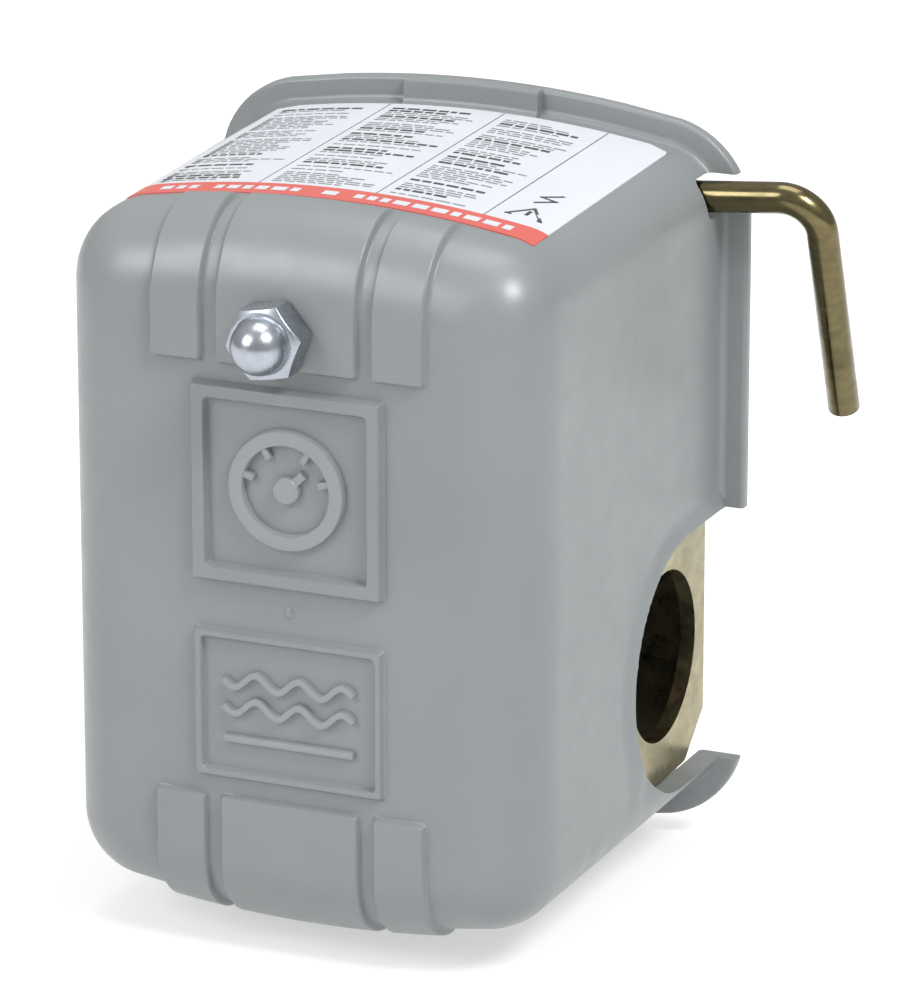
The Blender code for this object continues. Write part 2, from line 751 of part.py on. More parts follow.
def build_plunger():
    stem_y = WEB_BACK_Y + GAP
    profile = [
        (0, PLATE_BACK_Y),
        (PLUNGER_RADIUS, PLATE_BACK_Y),
        (PLUNGER_RADIUS, PLATE_FRONT_Y + GAP),
        (4 * MM, PLATE_FRONT_Y - 0.6 * MM),
        (4 * MM, stem_y + 0.8 * MM),
        (3.2 * MM, stem_y),
        (0, stem_y),
    ]
    add("plunger", turned(profile, sides=28), "bright_zinc")


def screw(name, spot, seat, tip, head_radius, head_height, finish, shank=SCREW_RADIUS, slot=True):
    """A pan-head screw along Y; its head stands on seat, on the side away from tip."""
    away = 1 if seat > tip else -1
    top = seat + away * head_height
    profile = [
        (0, tip),
        (shank, tip),
        (shank, seat),
        (head_radius, seat),
        (head_radius, top - away * 0.8 * MM),
        (head_radius - 0.8 * MM, top),
        (0, top),
    ]
    made = add(name, turned(profile, spot, 20), finish, (spot[0], seat, spot[1]))
    if slot:
        deep = sorted((top - away * 1.1 * MM, top + away * 1 * MM))
        half = 0.5 * MM
        reach = head_radius + 1 * MM
        low = (spot[0] - reach, deep[0], spot[1] - half)
        cut(made, box(low, (spot[0] + reach, deep[1], spot[1] + half)))


def hex_screw(name, spot, seat, tip, finish):
    """A ground screw: hexagon head with a washer face."""
    made = add(name, cylinder(SCREW_RADIUS, seat - 0.5 * MM, tip, spot, sides=16), finish)
    join(made, cylinder(4 * MM, seat - 1 * MM, seat, spot, sides=24))
    join(made, prism(hexagon(6.35 * MM, spot), seat - 3.6 * MM, seat - 0.8 * MM))


def build_screws():
    for i, spot in enumerate(HOUSING_SCREWS, 1):
        name = f"housing_screw_{i}"
        tip = PLATE_FRONT_Y - 1.2 * MM
        screw(name, spot, FLANGE_BACK_Y + GAP, tip, 3.2 * MM, 2.4 * MM, "bright_zinc")
    for i, spot in enumerate(BLOCK_SCREWS, 1):
        screw(f"block_screw_{i}", spot, PLATE_BACK_Y + GAP, -41 * MM, 3.2 * MM, 2.2 * MM, "bright_zinc")
    bracket_seat = PLATE_FRONT_Y - GAP - 1.2 * MM - GAP
    screw("bracket_screw", BRACKET_SCREW, bracket_seat, PLATE_BACK_Y, 3.0 * MM, 2.0 * MM, "bright_zinc")
    hex_screw("ground_screw", GROUND_SCREW, PLATE_FRONT_Y - GAP, PLATE_BACK_Y, "green_steel")


# --- Operating plate, springs and studs ----------------------------------------------------


def build_operating_plate():
    """The steel plate that tips on the pivot pin, with two side flanges round the pin."""
    outline = rounded(
        [
            (-8 * MM, -31 * MM, 1.5 * MM),
            (8 * MM, -31 * MM, 1.5 * MM),
            (8 * MM, -22.5 * MM, 1 * MM),
            (13.6 * MM, -22.5 * MM, 1 * MM),
            (13.6 * MM, -4 * MM, 3 * MM),
            (20.5 * MM, -1 * MM, 2 * MM),
            (20.5 * MM, 11 * MM, 3 * MM),
            (12 * MM, 15 * MM, 3 * MM),
            (12 * MM, 24.5 * MM, 3 * MM),
            (-13.6 * MM, 24.5 * MM, 3 * MM),
            (-13.6 * MM, -22.5 * MM, 1 * MM),
            (-8 * MM, -22.5 * MM, 1 * MM),
        ]
    )
    origin = (0, PIVOT_Y, PIVOT_Z)
    plate = add("operating_plate", prism(outline, WEB_FRONT_Y, WEB_BACK_Y), "yellow_zinc", origin)
    flanges = []
    section = rounded(
        [
            (WEB_FRONT_Y + 1 * MM, PIVOT_Z - 4.5 * MM, 0),
            (WEB_FRONT_Y + 1 * MM, PIVOT_Z + 4.5 * MM, 0),
            (PIVOT_Y - 3 * MM, PIVOT_Z + 3 * MM, 2.5 * MM),
            (PIVOT_Y - 3 * MM, PIVOT_Z - 3 * MM, 2.5 * MM),
        ]
    )
    for low, high in ((12.1 * MM, 13.5 * MM), (-13.5 * MM, -12.1 * MM)):
        flanges.append(prism(section, low, high, "X"))
    join(plate, merged(*flanges))
    low, high = WEB_FRONT_Y - 1 * MM, WEB_BACK_Y + 1 * MM
    cut(
        plate,
        merged(
            cylinder(PIN_RADIUS + GAP, -20 * MM, 20 * MM, (PIVOT_Y, PIVOT_Z), "X", 16),
            cylinder(RANGE_STUD_RADIUS + 1.1 * MM, low, high, (RANGE_X, RANGE_Z), sides=24),
            cylinder(
                DIFFERENTIAL_STUD_RADIUS + 0.9 * MM, low, high, (DIFFERENTIAL_X, DIFFERENTIAL_Z), sides=20
            ),
        ),
    )


def snap_ring(name, centre, low, high, inner, outer, opening):
    """A C-shaped retaining ring on a shaft along X, open towards the given angle."""
    gap = math.radians(35)
    count = 18
    angles = [opening + gap + (2 * math.pi - 2 * gap) * i / count for i in range(count + 1)]
    far = [(centre[0] + outer * math.cos(a), centre[1] + outer * math.sin(a)) for a in angles]
    near = [(centre[0] + inner * math.cos(a), centre[1] + inner * math.sin(a)) for a in angles]
    add(name, prism(far + near[::-1], low, high, "X"), "spring_steel", (low, *centre))


def build_pivot():
    centre = (PIVOT_Y, PIVOT_Z)
    head_x = LUG_X[1] + GAP
    groove = (-18.8 * MM, -17.7 * MM)
    profile = [
        (0, -19.6 * MM),
        (PIN_RADIUS - 0.3 * MM, -19.6 * MM),
        (PIN_RADIUS, -19.3 * MM),
        (PIN_RADIUS, groove[0]),
        (0.9 * MM, groove[0]),
        (0.9 * MM, groove[1]),
        (PIN_RADIUS, groove[1]),
        (PIN_RADIUS, head_x),
        (2.6 * MM, head_x),
        (2.6 * MM, head_x + 0.9 * MM),
        (2.2 * MM, head_x + 1.2 * MM),
        (0, head_x + 1.2 * MM),
    ]
    add("pivot_pin", turned(profile, centre, 20, "X"), "bright_zinc", (0, *centre))
    snap_ring("pin_clip", centre, -18.5 * MM, -18.0 * MM, 1.2 * MM, 3.0 * MM, math.pi)


def stud(name, centre, radius, front):
    """A threaded stud along Y whose collar stands on the base plate."""
    collar = PLATE_FRONT_Y - GAP
    profile = [
        (0, front),
        (radius - 0.5 * MM, front),
        (radius, front + 0.6 * MM),
        (radius, collar - 1.8 * MM),
        (radius + 1.8 * MM, collar - 1.8 * MM),
        (radius + 1.8 * MM, collar),
        (radius, collar),
        (radius, PLATE_BACK_Y - GAP),
        (0, PLATE_BACK_Y - GAP),
    ]
    add(name, turned(profile, centre, 20), "bright_zinc")


def spring_seat(name, centre, bore, pilot, outer, back):
    """A washer with a pilot that centres the spring; its back face touches the spring."""
    profile = [
        (bore, back + 1.2 * MM),
        (pilot, back + 1.2 * MM),
        (pilot, back),
        (outer, back),
        (outer, back - 1.4 * MM),
        (bore, back - 1.4 * MM),
    ]
    add(name, turned(profile, centre, 28), "bright_zinc", (centre[0], back, centre[1]))


def adjusting_nut(name, centre, bore, across_flats, back, height):
    outline = hexagon(across_flats, centre, math.radians(20))
    origin = (centre[0], back, centre[1])
    nut = add(name, prism(outline, back - height, back), "bright_zinc", origin)
    cut(nut, cylinder(bore, back - height - 1 * MM, back + 1 * MM, centre, sides=20))


def build_spring_stations():
    web = WEB_FRONT_Y - GAP
    centre = (RANGE_X, RANGE_Z)
    seat = -78.2 * MM
    stud("range_stud", centre, RANGE_STUD_RADIUS, -97.4 * MM)
    spring = coil(seat + GAP, web, 8, 7.4 * MM, 1.0 * MM, centre)
    add("range_spring", spring, "spring_steel", (RANGE_X, web, RANGE_Z))
    bore = RANGE_STUD_RADIUS + GAP
    spring_seat("range_seat", centre, bore, 5.9 * MM, 8.8 * MM, seat)
    adjusting_nut("range_nut", centre, bore, 9.5 * MM, seat - 1.7 * MM, 5.0 * MM)

    centre = (DIFFERENTIAL_X, DIFFERENTIAL_Z)
    seat = -60.3 * MM
    stud("differential_stud", centre, DIFFERENTIAL_STUD_RADIUS, -72.0 * MM)
    spring = coil(seat + GAP, web, 8, 3.6 * MM, 0.55 * MM, centre, steps=10, sides=5)
    add("differential_spring", spring, "spring_steel", (DIFFERENTIAL_X, web, DIFFERENTIAL_Z))
    bore = DIFFERENTIAL_STUD_RADIUS + GAP
    spring_seat("differential_seat", centre, bore, 2.7 * MM, 4.8 * MM, seat)
    adjusting_nut("differential_nut", centre, bore, 7.9 * MM, seat - 1.7 * MM, 4.0 * MM)

    low, high = -46.8 * MM + GAP, -31 * MM - GAP
    spot = (0, (WEB_FRONT_Y + WEB_BACK_Y) / 2)
    spring = coil(low, high, 7, 2.4 * MM, 0.4 * MM, spot, "Z", steps=9, sides=5)
    add("snap_spring", spring, "spring_steel", (0, spot[1], low))


# --- Cut-off lever -------------------------------------------------------------------------


def bent_path(corners, steps):
    """Points along a bent wire, from its two ends and, between them, (corner, bend radius)."""
    points = [Vector(corners[0][0])]
    for (before, _), (corner, radius), (after, _) in zip(corners, corners[1:], corners[2:]):
        here = Vector(corner)
        back, onward = (Vector(before) - here).normalized(), (Vector(after) - here).normalized()
        half = back.angle(onward) / 2
        centre = here + (back + onward).normalized() * radius / math.sin(half)
        first = (here + back * radius / math.tan(half) - centre).normalized()
        last = (here + onward * radius / math.tan(half) - centre).normalized()
        points += [centre + first.slerp(last, k / steps) * radius for k in range(steps + 1)]
    points.append(Vector(corners[-1][0]))
    return points


def build_lever():
    centre = (LEVER_Y, LEVER_Z)
    rod = tube(bent_path(LEVER_CORNERS, 6), LEVER_RADIUS, 14)
    origin = (0, LEVER_Y, LEVER_Z)
    lever = add("cutoff_lever", rod, "yellow_zinc", origin)
    groove = (-14.4 * MM, -13.2 * MM)
    outer, inner = LEVER_RADIUS + 1 * MM, LEVER_RADIUS - 0.5 * MM
    ring = [(inner, groove[0]), (outer, groove[0]), (outer, groove[1]), (inner, groove[1])]
    cut(lever, turned(ring, centre, 20, "X"))
    clip = (LEVER_RADIUS - 0.2 * MM, 2.6 * MM)
    snap_ring("lever_clip", centre, groove[0] + GAP, groove[1] - GAP, *clip, -math.pi / 2)

    lobe = [(3.4 * MM, 99), (3.4 * MM, 141)] + [(2.7 * MM, a) for a in range(180, 421, 20)]
    lobe = [
        (LEVER_Y + r * math.cos(math.radians(a)), LEVER_Z + r * math.sin(math.radians(a)))
        for r, a in lobe
    ]
    cam = add("lever_cam", prism(lobe, 5 * MM, 9 * MM, "X"), "bright_zinc", (7 * MM, *centre))
    cut(cam, cylinder(LEVER_RADIUS + GAP, 4 * MM, 10 * MM, centre, "X", 20))

    base_front = PLATE_FRONT_Y - GAP - 1.2 * MM
    base_low = (-23.5 * MM, base_front, 19.3 * MM)
    base_high = (24.0 * MM, PLATE_FRONT_Y - GAP, 23.6 * MM)
    bracket = add("lever_bracket", box(base_low, base_high), "yellow_zinc")
    foot = box((-23.5 * MM, base_front + 0.05 * MM, 14.8 * MM), (-16.3 * MM, base_high[1] - 0.05 * MM, 21 * MM))
    join(bracket, foot)
    ears = []
    section = rounded(
        [
            (base_front + 0.6 * MM, LEVER_Z - 2.55 * MM, 0),
            (base_front + 0.6 * MM, LEVER_Z + 3.0 * MM, 0),
            (LEVER_Y - 3.2 * MM, LEVER_Z + 3.0 * MM, 2.5 * MM),
            (LEVER_Y - 3.2 * MM, LEVER_Z - 2.55 * MM, 2.5 * MM),
        ]
    )
    for low in (-12.6 * MM, 22.7 * MM):
        ears.append(prism(section, low, low + 1.2 * MM, "X"))
    join(bracket, merged(*ears))
    holes = merged(
        cylinder(LEVER_RADIUS + GAP, -20 * MM, 30 * MM, centre, "X", 20),
        cylinder(SCREW_RADIUS + GAP, base_front - 1 * MM, PLATE_FRONT_Y + 1 * MM, BRACKET_SCREW, sides=16),
    )
    cut(bracket, holes)


# --- Terminal block and contacts -----------------------------------------------------------


def build_block():
    """A moulded block on two legs, with barriers between its four terminals."""
    w = BLOCK_HALF_WIDTH
    low, high = BLOCK_Z
    block = add("terminal_block", box((-w, BLOCK_FRONT_Y, low), (w, BLOCK_BACK_Y, high)), "black_plastic")
    legs = []
    for side in (-1, 1):
        inner, outer = sorted((side * 19.95 * MM, side * (w - 0.2 * MM)))
        foot = PLATE_FRONT_Y - GAP
        legs.append(box((inner, BLOCK_BACK_Y - 1 * MM, -24.6 * MM), (outer, foot, high - 0.3 * MM)))
    join(block, merged(*legs))
    barriers = []
    for i in range(5):
        x = -w + 0.9 * MM + i * (2 * w - 1.8 * MM) / 4
        front = BLOCK_FRONT_Y - 8.5 * MM
        shape = box((x - 0.8 * MM, front, low + 0.2 * MM), (x + 0.8 * MM, BLOCK_FRONT_Y + 1 * MM, high - 0.2 * MM))
        barriers.append(shape)
    join(block, merged(*barriers))
    holes = []
    for x in TERMINAL_X:
        low_x, high_x = x - 3.3 * MM, x + 3.3 * MM
        slot_low = (low_x, BLOCK_FRONT_Y - 1 * MM, CONTACT_Z - 1 * MM)
        holes.append(box(slot_low, (high_x, BLOCK_BACK_Y + 1 * MM, CONTACT_Z + 1 * MM)))
        pocket = (x, TERMINAL_SCREW_Z)
        holes.append(cylinder(2.3 * MM, BLOCK_FRONT_Y - 1 * MM, BLOCK_FRONT_Y + 8 * MM, pocket, sides=16))
    for spot in BLOCK_SCREWS:
        holes.append(cylinder(SCREW_RADIUS + GAP, -42 * MM, -30 * MM, spot, sides=16))
    cut(block, merged(*holes))


def build_terminals():
    """Four brass strips through the block: a screw tab in front, a contact button behind."""
    for i, x in enumerate(TERMINAL_X, 1):
        tab_y = BLOCK_FRONT_Y - GAP
        tab = box((x - 4 * MM, tab_y - 1 * MM, CONTACT_Z - 2 * MM), (x + 4 * MM, tab_y, -15.5 * MM))
        terminal = add(f"terminal_{i}", tab, "brass")
        leg_low = (x - 3 * MM, tab_y - 0.5 * MM, CONTACT_Z - 0.6 * MM)
        join(terminal, box(leg_low, (x + 3 * MM, BLOCK_BACK_Y + 0.9 * MM, CONTACT_Z + 0.6 * MM)))
        button_y = BLOCK_BACK_Y + 0.4 * MM
        join(terminal, cylinder(2.2 * MM, button_y, button_y + 1.2 * MM, (x, CONTACT_Z), sides=20))
        spot = (x, TERMINAL_SCREW_Z)
        cut(terminal, cylinder(2.2 * MM, tab_y - 2 * MM, tab_y + 1 * MM, spot, sides=16))
        clamp_back = tab_y - 1 * MM - GAP
        clamp_low = (x - 4 * MM, clamp_back - 1.2 * MM, TERMINAL_SCREW_Z - 4 * MM)
        clamp = add(
            f"wire_clamp_{i}",
            box(clamp_low, (x + 4 * MM, clamp_back, TERMINAL_SCREW_Z + 4 * MM)),
            "bright_zinc",
            (x, clamp_back, TERMINAL_SCREW_Z),
        )
        cut(clamp, cylinder(2.2 * MM, clamp_back - 2 * MM, clamp_back + 1 * MM, spot, sides=16))
        seat = clamp_back - 1.2 * MM - GAP
        screw(f"terminal_screw_{i}", spot, seat, BLOCK_FRONT_Y + 7 * MM, 3.5 * MM, 2.4 * MM, "brass")


def build_contacts():
    """The moving side: a carrier bar on the operating plate's tail, with two sprung bridges."""
    bar_low = (-22 * MM, -45.4 * MM, -31 * MM)
    bar_high = (22 * MM, WEB_FRONT_Y - GAP, -25.4 * MM)
    carrier = add("contact_carrier", box(bar_low, bar_high), "red_plastic", (0, PIVOT_Y, PIVOT_Z))
    bevel(carrier, 0.5 * MM)
    button_y = BLOCK_BACK_Y + 1.6 * MM + GAP
    middle = (TERMINAL_X[2] + TERMINAL_X[3]) / 2
    for i, side in enumerate((-1, 1), 1):
        x = side * middle
        half = 8.6 * MM
        strip_front = button_y + 1.2 * MM
        strip = box((x - half, strip_front - 0.1 * MM, CONTACT_Z - 2.4 * MM),
                    (x + half, strip_front + 0.8 * MM, CONTACT_Z + 2.4 * MM))
        bridge = add(f"contact_bridge_{i}", strip, "brass", (0, PIVOT_Y, PIVOT_Z))
        buttons = [
            cylinder(2.0 * MM, button_y, strip_front + 0.3 * MM, (x + off, CONTACT_Z), sides=20)
            for off in (-6.35 * MM, 6.35 * MM)
        ]
        join(bridge, merged(*buttons))
        spring_low = strip_front + 0.8 * MM + GAP
        spring = coil(
            spring_low, bar_low[1] - GAP, 3, 1.7 * MM, 0.22 * MM, (x, CONTACT_Z), steps=9, sides=4
        )
        add(f"contact_spring_{i}", spring, "spring_steel", (0, PIVOT_Y, PIVOT_Z))


def main():
    clear_scene()
    build_cover()
    build_label()
    build_cap_nut()
    build_frame()
    build_pressure_flange()
    build_diaphragm()
    build_plunger()
    build_screws()
    build_operating_plate()
    build_pivot()
    build_spring_stations()
    build_lever()
    build_block()
    build_terminals()
    build_contacts()


main()
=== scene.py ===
"""Looks for the pump pressure switch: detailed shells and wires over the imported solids."""

import json
import math
import random

import bmesh
import bpy
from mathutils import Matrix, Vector


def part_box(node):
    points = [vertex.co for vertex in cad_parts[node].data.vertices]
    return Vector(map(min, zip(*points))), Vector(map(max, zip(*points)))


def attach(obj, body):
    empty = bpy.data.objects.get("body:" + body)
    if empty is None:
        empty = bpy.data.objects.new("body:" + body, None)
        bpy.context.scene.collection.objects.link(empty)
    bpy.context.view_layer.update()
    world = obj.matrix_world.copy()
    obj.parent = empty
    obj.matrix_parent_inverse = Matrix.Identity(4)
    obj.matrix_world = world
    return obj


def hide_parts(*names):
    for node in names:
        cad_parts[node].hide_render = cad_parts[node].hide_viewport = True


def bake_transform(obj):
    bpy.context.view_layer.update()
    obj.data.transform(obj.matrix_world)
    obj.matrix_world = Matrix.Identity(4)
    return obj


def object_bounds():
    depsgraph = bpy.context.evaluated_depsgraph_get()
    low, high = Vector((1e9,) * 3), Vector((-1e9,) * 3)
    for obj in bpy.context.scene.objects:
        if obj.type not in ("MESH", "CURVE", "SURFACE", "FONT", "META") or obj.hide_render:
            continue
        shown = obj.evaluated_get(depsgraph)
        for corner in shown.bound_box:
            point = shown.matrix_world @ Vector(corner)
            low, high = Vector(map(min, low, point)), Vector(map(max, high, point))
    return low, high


MM = 0.001
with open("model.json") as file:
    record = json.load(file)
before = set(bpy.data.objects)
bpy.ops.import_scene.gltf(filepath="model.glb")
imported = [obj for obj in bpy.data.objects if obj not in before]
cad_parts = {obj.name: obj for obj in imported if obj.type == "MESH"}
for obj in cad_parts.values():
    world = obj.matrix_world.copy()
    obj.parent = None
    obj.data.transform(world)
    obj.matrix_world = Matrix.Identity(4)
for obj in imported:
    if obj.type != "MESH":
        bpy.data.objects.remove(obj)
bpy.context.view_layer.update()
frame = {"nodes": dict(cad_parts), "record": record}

# Driving sizes, in the row frame. They repeat those of part.py.
FACE_Y, RIM_Y, DEPTH = -93.0 * MM, -31.8 * MM, 61.2 * MM
TOP, BOTTOM, HALF_WIDTH, DRAFT = 28.3 * MM, -62.6 * MM, 31.5 * MM, 0.030
WALL, CROWN, CORNER, FACE_CORNER = 2.2 * MM, 146 * MM, 9.0 * MM, 3.0 * MM
EDGE_DEPTH, EDGE_SIDE, EDGE_TOP, EDGE_BOTTOM = 10 * MM, 9 * MM, 11 * MM, 9 * MM
FLANGE, FLANGE_DEPTH = 3.2 * MM, 59.2 * MM
NOTCH_Y, NOTCH_Z, NOTCH_R = -45.0 * MM, -37.6 * MM, 17.0 * MM
LIP_WIDTH, LIP_RISE = 2.3 * MM, 0.8 * MM  # the flare round the conduit cut-out
RELIEF_END = (9.0 * MM, 12.0 * MM)  # depths between which the bands sink away, under the label
EDGE_WIDTH = 0.5 * MM  # of the relief's soft sides
BLOCK, BLOCK_LEFT, BLOCK_RIGHT = 1.4 * MM, -9.95 * MM, 8.45 * MM  # thicker length of the top rim
RANGE_X, RANGE_Z = -1.0 * MM, 14.7 * MM
DIFFERENTIAL_X, DIFFERENTIAL_Z = 14.5 * MM, 5.5 * MM
LEVER_Y, LEVER_Z, LEVER_RADIUS = -36.0 * MM, 20.4 * MM, 2.0 * MM


# --- Materials -----------------------------------------------------------------------------


def link(tree, source, target):
    tree.links.new(source, target)


def noise(tree, where, scale, detail, roughness=0.5, stretch=(1, 1, 1)):
    place = tree.nodes.new("ShaderNodeMapping")
    place.inputs["Scale"].default_value = stretch
    link(tree, where, place.inputs["Vector"])
    made = tree.nodes.new("ShaderNodeTexNoise")
    made.inputs["Scale"].default_value = scale
    made.inputs["Detail"].default_value = detail
    made.inputs["Roughness"].default_value = roughness
    link(tree, place.outputs["Vector"], made.inputs["Vector"])
    return made.outputs["Fac"]


def ramp(tree, value, low, high, to_low, to_high):
    made = tree.nodes.new("ShaderNodeMapRange")
    made.inputs["From Min"].default_value = low
    made.inputs["From Max"].default_value = high
    made.inputs["To Min"].default_value = to_low
    made.inputs["To Max"].default_value = to_high
    link(tree, value, made.inputs["Value"])
    return made.outputs["Result"]


def blended(tree, share, one, other):
    """A colour between two others, either of which may be a socket."""
    made = tree.nodes.new("ShaderNodeMix")
    made.data_type = "RGBA"
    link(tree, share, made.inputs["Factor"])
    for name, colour in (("A", one), ("B", other)):
        socket = next(s for s in made.inputs if s.name == name and s.type == "RGBA")
        if hasattr(colour, "is_output"):
            link(tree, colour, socket)
        else:
            socket.default_value = (*colour, 1)
    return next(s for s in made.outputs if s.type == "RGBA")


def bumped(tree, shader, layers):
    """Adds bump layers of (height socket, distance in metres, strength) to the shader."""
    last = None
    for height, distance, strength in layers:
        made = tree.nodes.new("ShaderNodeBump")
        made.inputs["Distance"].default_value = distance
        made.inputs["Strength"].default_value = strength
        link(tree, height, made.inputs["Height"])
        if last:
            link(tree, last, made.inputs["Normal"])
        last = made.outputs["Normal"]
    link(tree, last, shader.inputs["Normal"])


def start_material(name, metallic):
    made = bpy.data.materials.new(name)
    made.use_nodes = True
    tree = made.node_tree
    shader = tree.nodes["Principled BSDF"]
    shader.inputs["Metallic"].default_value = metallic
    where = tree.nodes.new("ShaderNodeTexCoord").outputs["Object"]
    return made, tree, shader, where


def plastic(name, colour, shade, roughness, grain=0.00002, specks=0.1):
    """Moulded plastic: cloudy tone, fine spark-eroded grain and uneven gloss."""
    made, tree, shader, where = start_material(name, 0.0)
    cloud = ramp(tree, noise(tree, where, 45, 4), 0.3, 0.7, 0, 1)
    tone = blended(tree, cloud, colour, shade)
    fleck = ramp(tree, noise(tree, where, 5200, 2, 0.7), 0.52, 0.75, 0, specks)
    link(tree, blended(tree, fleck, tone, [c * 0.55 for c in colour]), shader.inputs["Base Color"])
    fine = noise(tree, where, 3600, 2, 0.6)
    link(tree, ramp(tree, noise(tree, where, 260, 3), 0.3, 0.7, roughness - 0.05, roughness + 0.06),
         shader.inputs["Roughness"])
    bumped(tree, shader, [(fine, grain, 0.6), (noise(tree, where, 380, 2), grain * 2.5, 0.12)])
    return made


def plated(name, colour, shade, roughness, stretch, patch, marks):
    """Plated steel: patchy colour, drawn or rolled streaks, small dull spots."""
    made, tree, shader, where = start_material(name, 1.0)
    cloud = ramp(tree, noise(tree, where, patch, 5, 0.6), 0.35, 0.65, 0, 1)
    streak = noise(tree, where, 900, 3, 0.6, stretch)
    tone = blended(tree, cloud, colour, shade)
    dark = ramp(tree, streak, 0.35, 0.75, 0, marks)
    link(tree, blended(tree, dark, tone, [c * 0.6 for c in shade]), shader.inputs["Base Color"])
    spots = noise(tree, where, 420, 4, 0.65)
    gloss = ramp(tree, spots, 0.3, 0.75, roughness - 0.06, roughness + 0.16)
    link(tree, gloss, shader.inputs["Roughness"])
    bumped(tree, shader, [(streak, 0.000012, 0.5), (spots, 0.00004, 0.2)])
    return made


def cast(name, colour, shade, roughness):
    """Die-cast metal with a sandy, slightly rippled skin."""
    made, tree, shader, where = start_material(name, 0.85)
    cloud = ramp(tree, noise(tree, where, 90, 5, 0.6), 0.3, 0.7, 0, 1)
    link(tree, blended(tree, cloud, colour, shade), shader.inputs["Base Color"])
    sand = noise(tree, where, 1500, 4, 0.7)
    link(tree, ramp(tree, sand, 0.3, 0.7, roughness - 0.08, roughness + 0.12), shader.inputs["Roughness"])
    bumped(tree, shader, [(sand, 0.00007, 0.5), (noise(tree, where, 160, 3), 0.0003, 0.25)])
    return made


COVER_GREY = plastic("cover_grey", (0.206, 0.221, 0.226), (0.186, 0.201, 0.206), 0.33)
# The raised emblems are the cover's own plastic painted about a tenth lighter: a painted highlight on the
# relief.
EMBLEM_LIT_GREY = plastic("emblem_grey_painted_highlight", (0.230, 0.247, 0.252), (0.211, 0.228, 0.233), 0.33)
LABEL_WHITE = plastic("label_white", (0.56, 0.58, 0.615), (0.53, 0.55, 0.59), 0.40, 0.000004, 0.03)
PRINT_RED = plastic("print_red", (0.55, 0.10, 0.078), (0.51, 0.092, 0.072), 0.40, 0.000004, 0.05)
PRINT_BLACK = plastic("print_black", (0.035, 0.036, 0.042), (0.05, 0.05, 0.055), 0.4, 0.000004, 0.05)
PRINT_GREY = plastic("print_grey", (0.16, 0.165, 0.18), (0.2, 0.2, 0.215), 0.4, 0.000004, 0.05)
BLACK = plastic("phenolic_black", (0.022, 0.022, 0.024), (0.032, 0.031, 0.031), 0.36, 0.00003, 0.3)
RED = plastic("phenolic_red", (0.36, 0.035, 0.022), (0.27, 0.028, 0.02), 0.4, 0.00003, 0.3)
RUBBER = plastic("rubber_black", (0.02, 0.02, 0.021), (0.03, 0.03, 0.03), 0.72, 0.00005, 0.3)
YELLOW_ZINC = plated(
    "yellow_zinc", (0.42, 0.365, 0.21), (0.29, 0.26, 0.155), 0.28, (1, 0.3, 1), 110, 0.45
)
LEVER_GOLD = plated("lever_gold", (0.20, 0.165, 0.083), (0.13, 0.112, 0.06), 0.17, (0.1, 1, 1), 140, 0.5)
ZINC = plated("bright_zinc", (0.46, 0.49, 0.535), (0.39, 0.42, 0.465), 0.26, (1, 1, 1), 120, 0.25)
SPRING = plated("spring_steel", (0.42, 0.42, 0.43), (0.30, 0.30, 0.31), 0.3, (1, 1, 1), 200, 0.4)
BRASS = plated("contact_brass", (0.80, 0.58, 0.27), (0.68, 0.48, 0.22), 0.28, (1, 1, 0.2), 120, 0.3)
CAST = cast("cast_zinc", (0.44, 0.45, 0.47), (0.34, 0.35, 0.37), 0.48)
GREEN = plated("green_lacquer", (0.05, 0.34, 0.12), (0.035, 0.26, 0.09), 0.32, (1, 1, 1), 150, 0.3)

SLOTS = {
    "cover_plastic": COVER_GREY,
    "label": LABEL_WHITE,
    "yellow_zinc": YELLOW_ZINC,
    "bright_zinc": ZINC,
    "spring_steel": SPRING,
    "cast_flange": CAST,
    "black_moulding": BLACK,
    "red_moulding": RED,
    "contact_brass": BRASS,
    "rubber": RUBBER,
    "ground_green": GREEN,
}


# --- Mesh helpers --------------------------------------------------------------------------


def finished(name, shape, material, body, replaces=(), sharp=35):
    """Turns a bmesh into a smooth-shaded piece that rides on a body."""
    bmesh.ops.recalc_face_normals(shape, faces=shape.faces)
    mesh = bpy.data.meshes.new(name)
    shape.to_mesh(mesh)
    shape.free()
    return placed(name, mesh, material, body, replaces, sharp)


def placed(name, mesh, material, body, replaces=(), sharp=35):
    mesh.materials.clear()
    mesh.materials.append(material)
    mesh.shade_smooth()
    mesh.set_sharp_from_angle(angle=math.radians(sharp))
    item = bpy.data.objects.new(name, mesh)
    bpy.context.scene.collection.objects.link(item)
    if body:
        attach(item, body)
    if replaces:
        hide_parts(*replaces)
    return item


def ring_faces(shape, one, other, closed=True):
    count = len(one)
    for i in range(count if closed else count - 1):
        j = (i + 1) % count
        shape.faces.new((one[i], one[j], other[j], other[i]))


AXES = {
    "X": lambda a, b, along: (along, a, b),
    "Y": lambda a, b, along: (a, along, b),
    "Z": lambda a, b, along: (a, b, along),
}


def prism(outline, low, high, axis="Y"):
    shape = bmesh.new()
    place = AXES[axis]
    ends = [[shape.verts.new(place(a, b, along)) for a, b in outline] for along in (low, high)]
    ring_faces(shape, *ends)
    for end in ends:
        shape.faces.new(end)
    return shape


def box(low, high):
    corners = [(low[0], low[2]), (high[0], low[2]), (high[0], high[2]), (low[0], high[2])]
    return prism(corners, low[1], high[1])


def circle(radius, sides, centre=(0, 0), start=0.0):
    angles = [start + 2 * math.pi * i / sides for i in range(sides)]
    return [(centre[0] + radius * math.cos(a), centre[1] + radius * math.sin(a)) for a in angles]


def cylinder(radius, low, high, centre=(0, 0), axis="Y", sides=48):
    return prism(circle(radius, sides, centre), low, high, axis)


